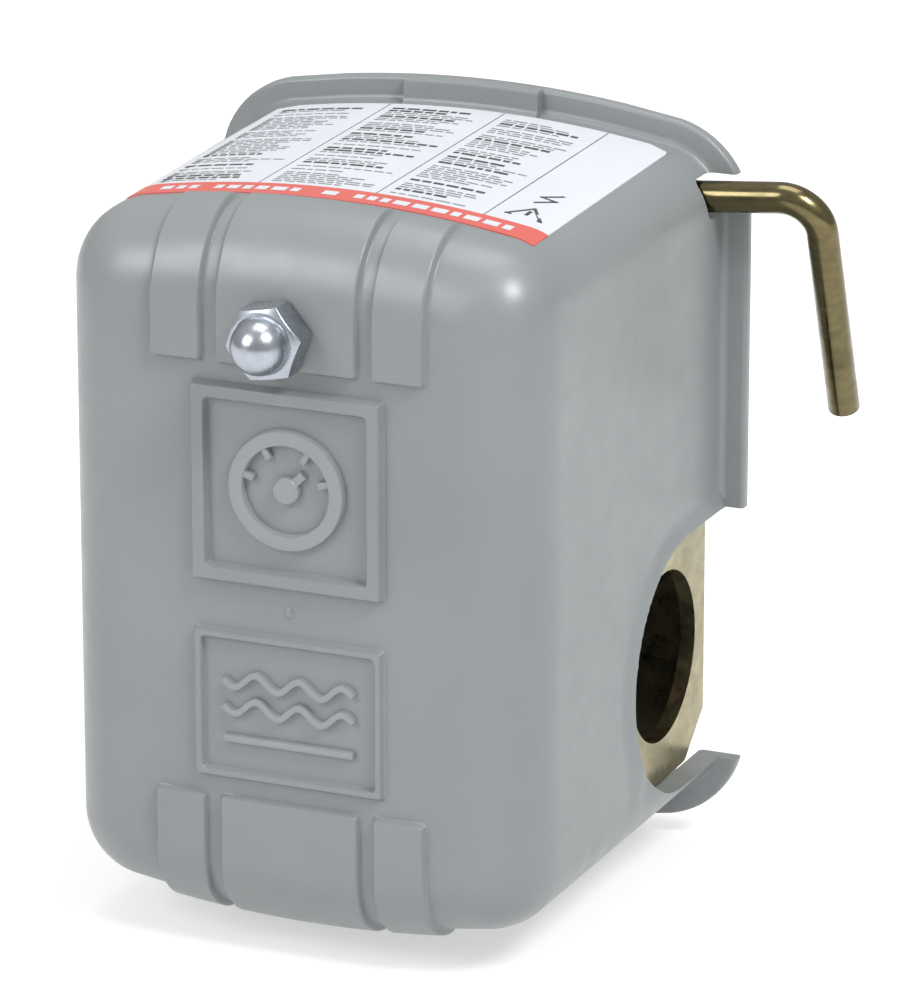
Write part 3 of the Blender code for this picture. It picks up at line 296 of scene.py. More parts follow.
def rounded(corners, steps=6):
    """An outline with arcs at its corners, from (a, b, radius) for each one."""
    points = []
    count = len(corners)
    for i, (a, b, radius) in enumerate(corners):
        here = Vector((a, b))
        if radius == 0:
            points.append((a, b))
            continue
        before = (Vector(corners[i - 1][:2]) - here).normalized()
        after = (Vector(corners[(i + 1) % count][:2]) - here).normalized()
        half = before.angle(after) / 2
        centre = here + (before + after).normalized() * radius / math.sin(half)
        first = (here + before * radius / math.tan(half) - centre).normalized()
        last = (here + after * radius / math.tan(half) - centre).normalized()
        for k in range(steps + 1):
            points.append(tuple(centre + first.slerp(last, k / steps) * radius))
    return points


def turned(profile, sides, centre=(0, 0)):
    """A solid turned about a line along Y, from (radius, y) points whose ends lie on the line."""
    shape = bmesh.new()
    rows = []
    for radius, y in profile:
        spots = circle(radius, sides, centre) if radius else [centre]
        rows.append([shape.verts.new((x, y, z)) for x, z in spots])
    for one, other in zip(rows, rows[1:]):
        if len(one) == 1 or len(other) == 1:
            tip, rim = (one, other) if len(one) == 1 else (other, one)
            for i in range(sides):
                shape.faces.new((tip[0], rim[i], rim[(i + 1) % sides]))
        else:
            ring_faces(shape, one, other)
    return shape


def tube(path, radii, sides):
    """A round wire along points; radii is one number or one for each point."""
    shape = bmesh.new()
    points = [Vector(p) for p in path]
    side = None
    rows = []
    for i, point in enumerate(points):
        ahead = points[min(i + 1, len(points) - 1)] - points[max(i - 1, 0)]
        ahead.normalize()
        if side is None:
            side = ahead.orthogonal().normalized()
        side = (side - ahead * side.dot(ahead)).normalized()
        other = ahead.cross(side)
        radius = radii[i] if isinstance(radii, (list, tuple)) else radii
        rows.append([shape.verts.new(point + side * a + other * b) for a, b in circle(radius, sides)])
    for one, other in zip(rows, rows[1:]):
        ring_faces(shape, one, other)
    shape.faces.new(rows[0])
    shape.faces.new(rows[-1])
    return shape


def merged(*shapes):
    whole = bmesh.new()
    for shape in shapes:
        scratch = bpy.data.meshes.new("scratch")
        shape.to_mesh(scratch)
        shape.free()
        whole.from_mesh(scratch)
        bpy.data.meshes.remove(scratch)
    return whole


def carved(shape, *steps):
    """Runs Boolean steps of (operation, shape) on a bmesh and returns the resulting mesh."""

    def solid(source):
        bmesh.ops.recalc_face_normals(source, faces=source.faces)
        mesh = bpy.data.meshes.new("solid")
        source.to_mesh(mesh)
        source.free()
        item = bpy.data.objects.new("solid", mesh)
        bpy.context.scene.collection.objects.link(item)
        return item

    target = solid(shape)
    helpers = []
    for operation, other in steps:
        helper = solid(other)
        helpers.append(helper)
        modifier = target.modifiers.new("step", "BOOLEAN")
        modifier.operation = operation
        modifier.solver = "EXACT"
        modifier.object = helper
    bpy.context.view_layer.update()
    result = bpy.data.meshes.new_from_object(target.evaluated_get(bpy.context.evaluated_depsgraph_get()))
    for item in (target, *helpers):
        mesh = item.data
        bpy.data.objects.remove(item)
        bpy.data.meshes.remove(mesh)
    return result


def soften(item, width, angle):
    modifier = item.modifiers.new("edges", "BEVEL")
    modifier.width = width
    modifier.segments = 2
    modifier.limit_method = "ANGLE"
    modifier.angle_limit = math.radians(angle)
    modifier.harden_normals = True


# --- Cover ---------------------------------------------------------------------------------


def smooth(t):
    t = min(max(t, 0.0), 1.0)
    return t * t * (3 - 2 * t)


def inside_box(x, z, left, right, low, high, corner):
    """How far a point is inside a rectangle with rounded corners; negative outside."""
    across = abs(x - (left + right) / 2) - (right - left) / 2 + corner
    along = abs(z - (low + high) / 2) - (high - low) / 2 + corner
    return corner - min(max(across, along), 0.0) - math.hypot(max(across, 0.0), max(along, 0.0))


def relief(x, z):
    """Height of the raised bands and frames above the flat face."""

    def rise(inside, height):
        return height * smooth(inside / EDGE_WIDTH)

    x = abs(x) / MM
    z = z / MM
    spans = ((10.1, 120.0), (-150.0, -44.85))
    band = 0.0
    for low, high in spans:
        for left, right in ((-9.4, 9.4), (10.9, 18.1)):
            band = max(band, rise(inside_box(x, z, left, right, low, high, 0.7) * MM, 0.9 * MM))
    outer = inside_box(x, z, -12.7, 12.7, -17.4, 8.0, 0.5)
    inner = inside_box(x, z, -10.3, 10.3, -15.0, 5.6, 0.3)
    square = rise(min(outer, -inner) * MM, 1.2 * MM)
    outer = inside_box(x, z, -12.65, 12.65, -42.8, -23.4, 0.6)
    inner = inside_box(x, z, -11.15, 11.15, -41.3, -24.9, 0.3)
    plate = rise(min(outer, -inner) * MM, 0.9 * MM)
    gate = 0.25 * MM * smooth((0.75 - abs(math.hypot(x, z + 20.4) - 0.1)) / 0.5)
    return max(band, square, plate, gate)


def lines(edges, low, high, spacing, extra=()):
    """Sorted grid lines: several across each soft edge, then others to fill the gaps."""
    found = {low, high, *extra}
    for edge, inward in edges:
        found.update(edge + inward * k * MM for k in (-0.15, 0, 0.125, 0.25, 0.375, 0.5, 0.65))
    found = sorted(x for x in found if low <= x <= high)
    kept = [found[0]]
    for x in found[1:]:
        if x - kept[-1] < 0.04 * MM:
            continue
        count = math.ceil((x - kept[-1]) / spacing)
        start = kept[-1]
        kept += [start + (x - start) * (k + 1) / count for k in range(count)]
    return kept


def face_columns():
    edges = [(9.4, -1), (10.9, 1), (18.1, -1), (12.7, -1), (10.3, 1), (11.15, 1), (0.6, -1)]
    edges = [(sign * x * MM, sign * inward) for x, inward in edges for sign in (1, -1)]
    beside_block = [-10.0 * MM, -9.9 * MM, 8.4 * MM, 8.5 * MM]
    return lines(edges, -19.2 * MM, 19.2 * MM, 0.9 * MM, beside_block)


def face_rows():
    edges = [
        (10.1, 1), (8.0, -1), (5.6, 1), (-15.0, -1), (-17.4, 1), (-23.4, -1), (-24.9, 1),
        (-41.3, -1), (-42.8, 1), (-44.85, -1), (-19.8, -1), (-21.0, 1),
    ]
    return lines([(z * MM, inward) for z, inward in edges], -46.9 * MM, 12.6 * MM, 0.9 * MM)[::-1]


def crowned_corner(half_width, apex, radius, crown, up):
    across = half_width - radius
    middle = apex - up * crown
    rise = math.sqrt((crown - radius) ** 2 - across**2)
    return (across, middle + up * rise), math.atan2(rise, across)


def section(half_width, top, bottom, radius, crown, columns, rows, steps):
    """One (x, z) loop of the cover, clockwise from the top left."""
    (across, high), high_angle = crowned_corner(half_width, top, radius, crown, 1)
    (_, low), low_angle = crowned_corner(half_width, bottom, radius, crown, -1)

    def edge(x, apex, up):
        return apex - up * (crown - math.sqrt(crown**2 - x**2))

    def arc(side, height, first, up):
        angles = [first * (1 - (k + 0.5) / (steps + 1)) for k in range(steps + 1)]
        return [
            (side * (across + radius * math.cos(a)), height + up * radius * math.sin(a)) for a in angles
        ]

    loop = [(x, edge(x, top, 1)) for x in columns]
    loop += arc(1, high, high_angle, 1)
    loop += [(half_width, z) for z in rows]
    loop += reversed(arc(1, low, low_angle, -1))
    loop += [(x, edge(x, bottom, -1)) for x in reversed(columns)]
    loop += arc(-1, low, low_angle, -1)
    loop += [(-half_width, z) for z in reversed(rows)]
    loop += reversed(arc(-1, high, high_angle, 1))
    return loop


def wall_section(depth, outwards, grid):
    half_width = HALF_WIDTH + DRAFT * (depth - EDGE_DEPTH) + outwards
    return section(
        half_width, TOP + outwards, BOTTOM - outwards, CORNER + outwards, CROWN + outwards, *grid
    )


def edge_section(turn, inwards, grid):
    lean = turn * math.pi / 2
    left = 1 - math.sin(lean)
    flat = FACE_CORNER - inwards * 0.5
    loop = section(
        HALF_WIDTH - EDGE_SIDE * left - inwards * math.sin(lean),
        TOP - EDGE_TOP * left - inwards * math.sin(lean),
        BOTTOM + EDGE_BOTTOM * left + inwards * math.sin(lean),
        flat + (CORNER - inwards - flat) * math.sin(lean),
        CROWN,
        *grid,
    )
    return loop, EDGE_DEPTH * (1 - math.cos(lean)) + inwards * math.cos(lean)


def notch_distance(y, z):
    """How far a point is outside the conduit cut-out."""
    if y < NOTCH_Y:
        return math.hypot(y - NOTCH_Y, z - NOTCH_Z) - NOTCH_R
    return abs(z - NOTCH_Z) - NOTCH_R


def relief_left(depth):
    start, end = RELIEF_END
    return 1 - smooth((depth - start) / (end - start))


def cover_shape():
    grid = (face_columns(), face_rows(), 13)
    shape = bmesh.new()

    def ring(loop, depth, flared=True, block=0.0, lifted=False):
        spots = []
        for x, z in loop:
            y = FACE_Y + depth
            if block and z > 0 and BLOCK_LEFT < x < BLOCK_RIGHT:
                y -= block
            if flared and z < 0 and abs(x) > 25 * MM:
                x += math.copysign(LIP_RISE * min(max(1 - notch_distance(y, z) / LIP_WIDTH, 0.0), 1.0), x)
            if lifted:
                z += math.copysign(relief(x, z) * relief_left(depth), z)
            spots.append(shape.verts.new((x, y, z)))
        return spots

    rings = []
    turns = 16
    for i in range(turns + 1):
        turn = i / turns
        loop, depth = edge_section(turn, 0.0, grid)
        lean = turn * math.pi / 2
        spots = []
        for x, z in loop:
            lift = relief(x, z) * relief_left(depth)
            up = 1 if z > 0 else -1
            spots.append((x, FACE_Y + depth - lift * math.cos(lean), z + up * lift * math.sin(lean)))
        rings.append([shape.verts.new(spot) for spot in spots])
    depth = EDGE_DEPTH
    while depth < 57.4 * MM:
        depth += 0.8 * MM
        rings.append(ring(wall_section(depth, 0.0, grid), depth, lifted=True))
    fillet = 0.9 * MM
    for angle in (0, 30, 60, 90):
        a = math.radians(angle)
        out = fillet * (1 - math.cos(a))
        depth = FLANGE_DEPTH - fillet * (1 - math.sin(a))
        rings.append(ring(wall_section(FLANGE_DEPTH, out, grid), depth, angle < 60, block=BLOCK))
    for out, depth, block in (
        (FLANGE - 0.5 * MM, FLANGE_DEPTH, BLOCK),
        (FLANGE - 0.15 * MM, FLANGE_DEPTH + 0.12 * MM, BLOCK),
        (FLANGE, FLANGE_DEPTH + 0.45 * MM, 1.3 * MM),
        (FLANGE, DEPTH - 0.45 * MM, 0.0),
        (FLANGE - 0.15 * MM, DEPTH - 0.12 * MM, 0.0),
        (FLANGE - 0.5 * MM, DEPTH, 0.0),
        (0.4 * MM - WALL, DEPTH, 0.0),
        (-WALL, DEPTH - 0.4 * MM, 0.0),
    ):
        rings.append(ring(wall_section(FLANGE_DEPTH, out, grid), depth, False, block=block))
    for depth in range(56, 10, -4):
        rings.append(ring(wall_section(depth * MM, -WALL, grid), depth * MM, False))
    for turn in (1.0, 0.8, 0.6, 0.45, 0.3, 0.15, 0.0):
        loop, depth = edge_section(turn, WALL, grid)
        rings.append(ring(loop, depth, False))
    for one, other in zip(rings, rings[1:]):
        ring_faces(shape, one, other)
    shape.faces.new(rings[-1])
    fill_face(shape, rings[0], *grid)
    return shape


def fill_face(shape, rim, columns, rows, corner_steps):
    across, down, arc = len(columns), len(rows), corner_steps + 1
    top = rim[:across]
    top_right = rim[across : across + arc]
    right = rim[across + arc : across + arc + down]
    rest = rim[across + arc + down :]
    bottom_right, rest = rest[:arc], rest[arc:]
    bottom, rest = rest[:across][::-1], rest[across:]
    bottom_left, rest = rest[:arc], rest[arc:]
    left, top_left = rest[:down][::-1], rest[down:]
    grid = [[shape.verts.new((x, FACE_Y - relief(x, z), z)) for x in columns] for z in rows]
    for upper, lower in zip(grid, grid[1:]):
        ring_faces(shape, upper, lower, closed=False)
    ring_faces(shape, top, grid[0], closed=False)
    ring_faces(shape, grid[-1], bottom, closed=False)
    ring_faces(shape, [row[-1] for row in grid], right, closed=False)
    ring_faces(shape, left, [row[0] for row in grid], closed=False)
    for corner, run in (
        (grid[0][-1], [top[-1], *top_right, right[0]]),
        (grid[-1][-1], [right[-1], *bottom_right, bottom[-1]]),
        (grid[-1][0], [bottom[0], *bottom_left, left[-1]]),
        (grid[0][0], [left[0], *top_left, top[0]]),
    ):
        for one, other in zip(run, run[1:]):
            shape.faces.new((corner, one, other))


def notch_cutter(side):
    spots = []
    for i in range(61):
        a = math.radians(-90 + 3 * i)
        spots.append((NOTCH_Y - NOTCH_R * math.cos(a), NOTCH_Z + NOTCH_R * math.sin(a)))
    back = RIM_Y + 5 * MM
    spots += [(back, NOTCH_Z + NOTCH_R), (back, NOTCH_Z - NOTCH_R)]
    return prism(spots, *sorted((side * 20 * MM, side * 45 * MM)), "X")


def build_cover():
    slot = rounded(
        [
            (RIM_Y + 5 * MM, 18.1 * MM, 0),
            (LEVER_Y - 2.3 * MM, 18.1 * MM, 0.8 * MM),
            (LEVER_Y - 2.3 * MM, 23.0 * MM, 0.8 * MM),
            (RIM_Y + 5 * MM, 23.0 * MM, 0),
        ]
    )
    cuts = merged(
        notch_cutter(1),
        notch_cutter(-1),
        prism(slot, 20 * MM, 45 * MM, "X"),
        cylinder(2.7 * MM, FACE_Y - 5 * MM, FACE_Y + 5 * MM, (RANGE_X, RANGE_Z)),
    )
    mesh = carved(cover_shape(), ("DIFFERENCE", cuts))
    placed("cover_moulding", mesh, COVER_GREY, "cover_shell", ["cover"], 48)


def raised_strip(points, width, foot, top, closed=False):
    """A moulded bar on the cover's face along (x, z) points, narrower at its top, with soft edges."""
    profile = [(0.5, foot), (0.5, foot - 0.6 * (foot - top)), (0.42, top + 0.05 * MM), (0.3, top)]
    profile += [(-a, y) for a, y in reversed(profile)]
    shape = bmesh.new()
    rows = []
    count = len(points)
    for i, (x, z) in enumerate(points):
        if closed:
            before, after = points[i - 1], points[(i + 1) % count]
        else:
            before, after = points[max(i - 1, 0)], points[min(i + 1, count - 1)]
        ahead = Vector((after[0] - before[0], after[1] - before[1])).normalized()
        side = Vector((-ahead.y, ahead.x))
        rows.append(
            [shape.verts.new((x + side.x * a * width, y, z + side.y * a * width)) for a, y in profile]
        )
    for one, other in zip(rows, rows[1:] + (rows[:1] if closed else [])):
        ring_faces(shape, one, other)
    if not closed:
        shape.faces.new(rows[0])
        shape.faces.new(rows[-1])
    return shape


def build_emblems():
    """A plain gauge sign in the square frame and plain waves on the plate below it."""
    middle = -4.7 * MM
    foot, top = FACE_Y + 0.3 * MM, FACE_Y - 1.0 * MM
    ring = raised_strip(circle(6.6 * MM, 72, (0, middle)), 2.0 * MM, foot, top, closed=True)
    finished("emblem_ring", ring, EMBLEM_LIT_GREY, "cover_shell", sharp=30)
    ticks = []
    for degrees in (165, 120, 60, 15):
        a = math.radians(degrees)
        spots = [(r * MM * math.cos(a), middle + r * MM * math.sin(a)) for r in (4.4, 5.9)]
        ticks.append(raised_strip(spots, 0.9 * MM, foot, top + 0.15 * MM))
    finished("emblem_ticks", merged(*ticks), EMBLEM_LIT_GREY, "cover_shell", sharp=30)
    needle = [(2.8 * MM * k, middle + 2.8 * MM * k) for k in (-0.1, 0.4, 0.8)]
    needle = raised_strip(needle, 1.2 * MM, foot, top + 0.2 * MM)
    hub = turned([(0, foot + 0.1 * MM), (1.7 * MM, foot + 0.1 * MM), (1.7 * MM, top + 0.2 * MM),
                  (1.5 * MM, top), (0, top)], 40, (0, middle))
    mesh = carved(needle, ("UNION", hub))
    placed("emblem_needle", mesh, EMBLEM_LIT_GREY, "cover_shell", (), 30)
    foot, top = FACE_Y + 0.3 * MM, FACE_Y - 0.8 * MM
    waves = []
    for z, reach, swing in ((-29.8, 8.6, 0.9), (-33.2, 8.6, 0.9), (-37.4, 8.6, 0.0)):
        spots = []
        for k in range(49):
            x = -reach + 2 * reach * k / 48
            spots.append((x * MM, (z + swing * math.sin(x * 2 * math.pi / 5.74)) * MM))
        waves.append(raised_strip(spots, 0.9 * MM, foot, top))
    finished("plate_waves", merged(*waves), EMBLEM_LIT_GREY, "cover_shell", sharp=30)


# --- Label ---------------------------------------------------------------------------------


def label_height(x, y, lift):
    """The cover's top surface, a lift above it."""
    half_width = HALF_WIDTH + DRAFT * (y - FACE_Y - EDGE_DEPTH)
    centre, first = crowned_corner(half_width, TOP, CORNER, CROWN, 1)
    tangent = centre[0] + CORNER * math.cos(first)
    if abs(x) < tangent:
        return TOP - CROWN + math.sqrt((CROWN + lift) ** 2 - x**2)
    return centre[1] + math.sqrt((CORNER + lift) ** 2 - (abs(x) - centre[0]) ** 2)


def patch(shape, left, right, front, back, lift):
    """A printed rectangle on the label."""
    count = max(1, math.ceil((right - left) / (1.5 * MM)))
    rows = []
    for k in range(count + 1):
        x = left + (right - left) * k / count
        rows.append([shape.verts.new((x, y, label_height(x, y, lift))) for y in (front, back)])
    for one, other in zip(rows, rows[1:]):
        shape.faces.new((one[0], other[0], other[1], one[1]))


def printed(name, shape, material):
    bmesh.ops.recalc_face_normals(shape, faces=shape.faces)
    for face in shape.faces:
        if face.normal.z < 0:
            face.normal_flip()
    mesh = bpy.data.meshes.new(name)
    shape.to_mesh(mesh)
    shape.free()
    return placed(name, mesh, material, "cover_shell")


def label_sheet(half, front, back, low, high, corner=0.0):
    """A thin film over the crowned top, with rounded corners at its back edge."""
    shape = bmesh.new()
    rows = []
    for k in range(-40, 41):
        x = half * k / 40
        if corner and abs(k) > 36:
            x = half * math.sin(math.radians(90 * k / 40))
        near = max(abs(x) - (half - corner), 0)
        end = back - corner + math.sqrt(max(corner**2 - near**2, 0))
        spots = [(front, low), *((front + (end - front) * k / 8, high) for k in range(9)), (end, low)]
        rows.append([shape.verts.new((x, y, label_height(x, y, lift))) for y, lift in spots])
    for one, other in zip(rows, rows[1:]):
        ring_faces(shape, one, other)
    shape.faces.new(rows[0])
    shape.faces.new(rows[-1])
    return shape


def stroke(shape, points, width, lift):
    """A printed line along (x, y) points."""
    for one, other in zip(points, points[1:]):
        one, other = Vector(one), Vector(other)
        ahead = (other - one).normalized() * width / 2
        side = Vector((-ahead.y, ahead.x))
        corners = (one - ahead - side, other + ahead - side, other + ahead + side, one - ahead + side)
        shape.faces.new([shape.verts.new((c.x, c.y, label_height(c.x, c.y, lift))) for c in corners])


def build_label():
    half, front, back = 26.7 * MM, FACE_Y + 12 * MM, FACE_Y + 57 * MM
    low, high = -0.05 * MM, 0.12 * MM
    stripe_back = FACE_Y + 16.7 * MM
    film = label_sheet(half, stripe_back, back, low, high, 1.8 * MM)
    finished("label_film", film, LABEL_WHITE, "cover_shell", ["cover_label"], 30)
    stripe = label_sheet(half, front, stripe_back, low, high)
    finished("label_stripe", stripe, PRINT_RED, "cover_shell", (), 30)
    chance = random.Random(7)
    white, lift = bmesh.new(), high + 0.015 * MM
    x = -half + 1.5 * MM
    while x < half - 4 * MM:
        width = chance.choice((1.1, 1.5, 1.9)) * MM
        if chance.random() < 0.85:
            patch(white, x, x + width, front + 1.6 * MM, stripe_back - 1.5 * MM, lift)
        x += width + 0.6 * MM
    printed("label_stripe_marks", white, LABEL_WHITE)
    dark, pale = bmesh.new(), bmesh.new()
    dividers = (-11.2 * MM, 4.4 * MM, 18.4 * MM)
    for x in dividers:
        patch(dark, x - 0.07 * MM, x + 0.07 * MM, stripe_back, back - 0.2 * MM, lift)
    for left, right in (
        (-half + 1.6 * MM, dividers[0] - 1.2 * MM),
        (dividers[0] + 1.2 * MM, dividers[1] - 1.2 * MM),
        (dividers[1] + 1.2 * MM, dividers[2] - 1.2 * MM),
    ):
        y = stripe_back + 1.0 * MM
        while y < back - 2.5 * MM:
            heading = chance.random() < 0.16
            height = (0.75 if heading else 0.42) * MM
            reach = right - (right - left) * chance.uniform(0.0, 0.45)
            x = left
            while x < reach - 0.8 * MM:
                end = min(x + chance.uniform(0.7, 2.0) * MM, reach)
                patch(dark if heading else pale, x, end, y, y + height, lift)
                x = end + 0.32 * MM
            y += height + chance.choice((0.42, 0.42, 0.42, 1.2)) * MM
    x, y = 22.4 * MM, FACE_Y + 21 * MM
    left, right, near = x - 2.2 * MM, x + 2.2 * MM, y - 1.7 * MM
    stroke(dark, [(left, near), (right, near), (x, y + 2.0 * MM), (left, near)], 0.45 * MM, lift)
    stroke(dark, [(x, y - 0.7 * MM), (x, y + 0.6 * MM)], 0.5 * MM, lift)
    y += 6.5 * MM
    zigzag = ((0.9, 2.2), (-1.0, 0.2), (1.0, -0.2), (-0.9, -2.2))
    stroke(dark, [(x + a * MM, y + b * MM) for a, b in zigzag], 0.5 * MM, lift)
    printed("label_headings", dark, PRINT_BLACK)
    printed("label_lines", pale, PRINT_GREY)


# --- Fastened parts ------------------------------------------------------------------------


def chamfered_hexagon(across_flats, low, high, centre, turn):
    """A hexagon nut's body: a prism whose corners are turned off to a cone at its front."""
    flat = across_flats / 2 * 0.92
    outer = across_flats / math.sqrt(3) + 0.02 * MM
    drop = (outer - flat) * 0.6
    cone = [(0, low), (flat, low), (outer, low + drop), (outer, high), (0, high)]
    outline = circle(across_flats / math.sqrt(3), 6, centre, turn)
    hexagon = prism(outline, low - 1 * MM, high + 1 * MM)
    return carved(turned(cone, 96, centre), ("INTERSECT", hexagon))


def build_cap_nut():
    centre = (RANGE_X, RANGE_Z)
    seat = FACE_Y - 1.2 * MM
    hex_front = seat - 4.0 * MM
    body = chamfered_hexagon(8.7 * MM, hex_front, seat, centre, math.radians(10))
    item = placed("cap_nut_hexagon", body, ZINC, "cap", ["cap_nut"], 30)
    soften(item, 0.18 * MM, 25)
    radius = 3.5 * MM
    dome_y = seat - 4.6 * MM
    profile = [
        (0, hex_front + 0.5 * MM), (radius + 0.3 * MM, hex_front + 0.5 * MM),
        (radius + 0.2 * MM, hex_front - 0.05 * MM), (radius, hex_front - 0.3 * MM), (radius, dome_y),
    ]
    for degrees in range(9, 90, 9):
        a = math.radians(degrees)
        profile.append((radius * math.cos(a), dome_y - radius * math.sin(a)))
    profile.append((0, dome_y - radius))
    finished("cap_nut_dome", turned(profile, 72, centre), ZINC, "cap", sharp=60)


def bent_path(corners, steps):
    """Points along a bent wire, from its two ends and, between them, (corner, bend radius)."""
    points = [Vector(corners[0][0])]
    for (before, _), (corner, radius), (after, _) in zip(corners, corners[1:], corners[2:]):
        here = Vector(corner)
        back, onward = (Vector(before) - here).normalized(), (Vector(after) - here).normalized()
        half = back.angle(onward) / 2
        centre = here + (back + onward).normalized() * radius / math.sin(half)
        first = (here + back * radius / math.tan(half) - centre).normalized()
        last = (here + onward * radius / math.tan(half) - centre).normalized()
        points += [centre + first.slerp(last, k / steps) * radius for k in range(steps + 1)]
    points.append(Vector(corners[-1][0]))
    return points


def build_lever():
    corners = [
        ((-15.4 * MM, LEVER_Y, LEVER_Z), 0),
        ((30.5 * MM, LEVER_Y, LEVER_Z), 9 * MM),
        ((46.3 * MM, LEVER_Y, LEVER_Z + 1.45 * MM), 4.8 * MM),
        ((46.7 * MM, LEVER_Y + 10.0 * MM, LEVER_Z - 28.6 * MM), 0),
    ]
    path = bent_path(corners, 18)
    tip, inner = path[-1], path[-2]
    along = (tip - inner).normalized()
    path[-1:] = [tip - along * 0.22 * MM, tip - along * 0.06 * MM, tip]
    radii = [LEVER_RADIUS] * len(path)
    radii[-3:] = [LEVER_RADIUS, LEVER_RADIUS - 0.08 * MM, LEVER_RADIUS - 0.25 * MM]
    groove = [(-15.2, 0.0), (-14.4, 0.0), (-14.39, -0.5), (-13.21, -0.5), (-13.2, 0.0)]
    path[1:1] = [Vector((x * MM, LEVER_Y, LEVER_Z)) for x, _ in groove]
    radii[0] = LEVER_RADIUS - 0.3 * MM
    radii[1:1] = [LEVER_RADIUS + deeper * MM for _, deeper in groove]
    finished("lever_rod", tube(path, radii, 40), LEVER_GOLD, "lever", ["cutoff_lever"], 40)


def coil_path(low, high, turns, mean_radius, wire, centre, axis, steps):
    """The centre line of a compression spring with closed end turns."""
    place = AXES[axis]
    start, end = low + wire, high - wire
    dead = 2.25 * wire
    path = []
    for i in range(round(turns * steps) + 1):
        turn = i / steps
        if turn < 1:
            along = start + dead * turn
        elif turn > turns - 1:
            along = end - dead * (turns - turn)
        else:
            along = start + dead + (end - start - 2 * dead) * (turn - 1) / (turns - 2)
        angle = 2 * math.pi * turn
        a, b = centre[0] + mean_radius * math.cos(angle), centre[1] + mean_radius * math.sin(angle)
        path.append(place(a, b, along))
    return path


def build_springs():
    """Each stud's spring is made as two lengths; neither length is attached to a body."""
    web = -41.9 * MM
    for name, centre, radius, wire, seat, body in (
        ("range", (RANGE_X, RANGE_Z), 7.4, 1.0, -77.9, "main_seat"),
        ("differential", (DIFFERENTIAL_X, DIFFERENTIAL_Z), 3.6, 0.55, -60.0, "small_seat"),
    ):
        path = coil_path(seat * MM, web, 8, radius * MM, wire * MM, centre, "Y", 40)
        middle = len(path) // 2
        halfway = Vector(path[middle])
        halfway.x, halfway.z = centre
        coil = tube(path[: middle + 1], wire * MM, 14)
        front = finished(
            f"{name}_spring_front", coil, SPRING, None, [f"{name}_spring"], 40
        )
        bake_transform(front)
        coil = tube(path[middle:], wire * MM, 14)
        back = finished(f"{name}_spring_back", coil, SPRING, None, (), 40)
        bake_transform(back)
    centre = (0, -40.6 * MM)
    path = coil_path(-46.5 * MM, -31.3 * MM, 7, 2.4 * MM, 0.4 * MM, centre, "Z", 32)
    coil = tube(path, 0.4 * MM, 12)
    snap = finished("snap_coil", coil, SPRING, None, ["snap_spring"], 40)
    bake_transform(snap)
    for i, side in enumerate((-1, 1), 1):
        low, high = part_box(f"contact_spring_{i}")
        where = (side * 12.7 * MM, -28.3 * MM)
        path = coil_path(low.y, high.y, 3, 1.7 * MM, 0.22 * MM, where, "Y", 28)
        finished(f"contact_coil_{i}", tube(path, 0.22 * MM, 10), SPRING, "rocker",
                 [f"contact_spring_{i}"], 40)


# --- Frame and pressure end ----------------------------------------------------------------

PLATE_FRONT, PLATE_BACK = -31.5 * MM, -29.5 * MM
EAR_X, EAR_FRONT, EAR_Z = 29.9 * MM, -61.8 * MM, (-54.4 * MM, -20.8 * MM)
PIVOT_Y, PIVOT_Z = -43.6 * MM, -16.0 * MM
HOUSING_SCREWS = [(x * MM, z * MM) for x in (13, -13) for z in (15.2, -15.2)]
SCREW_HOLE = 2.1 * MM


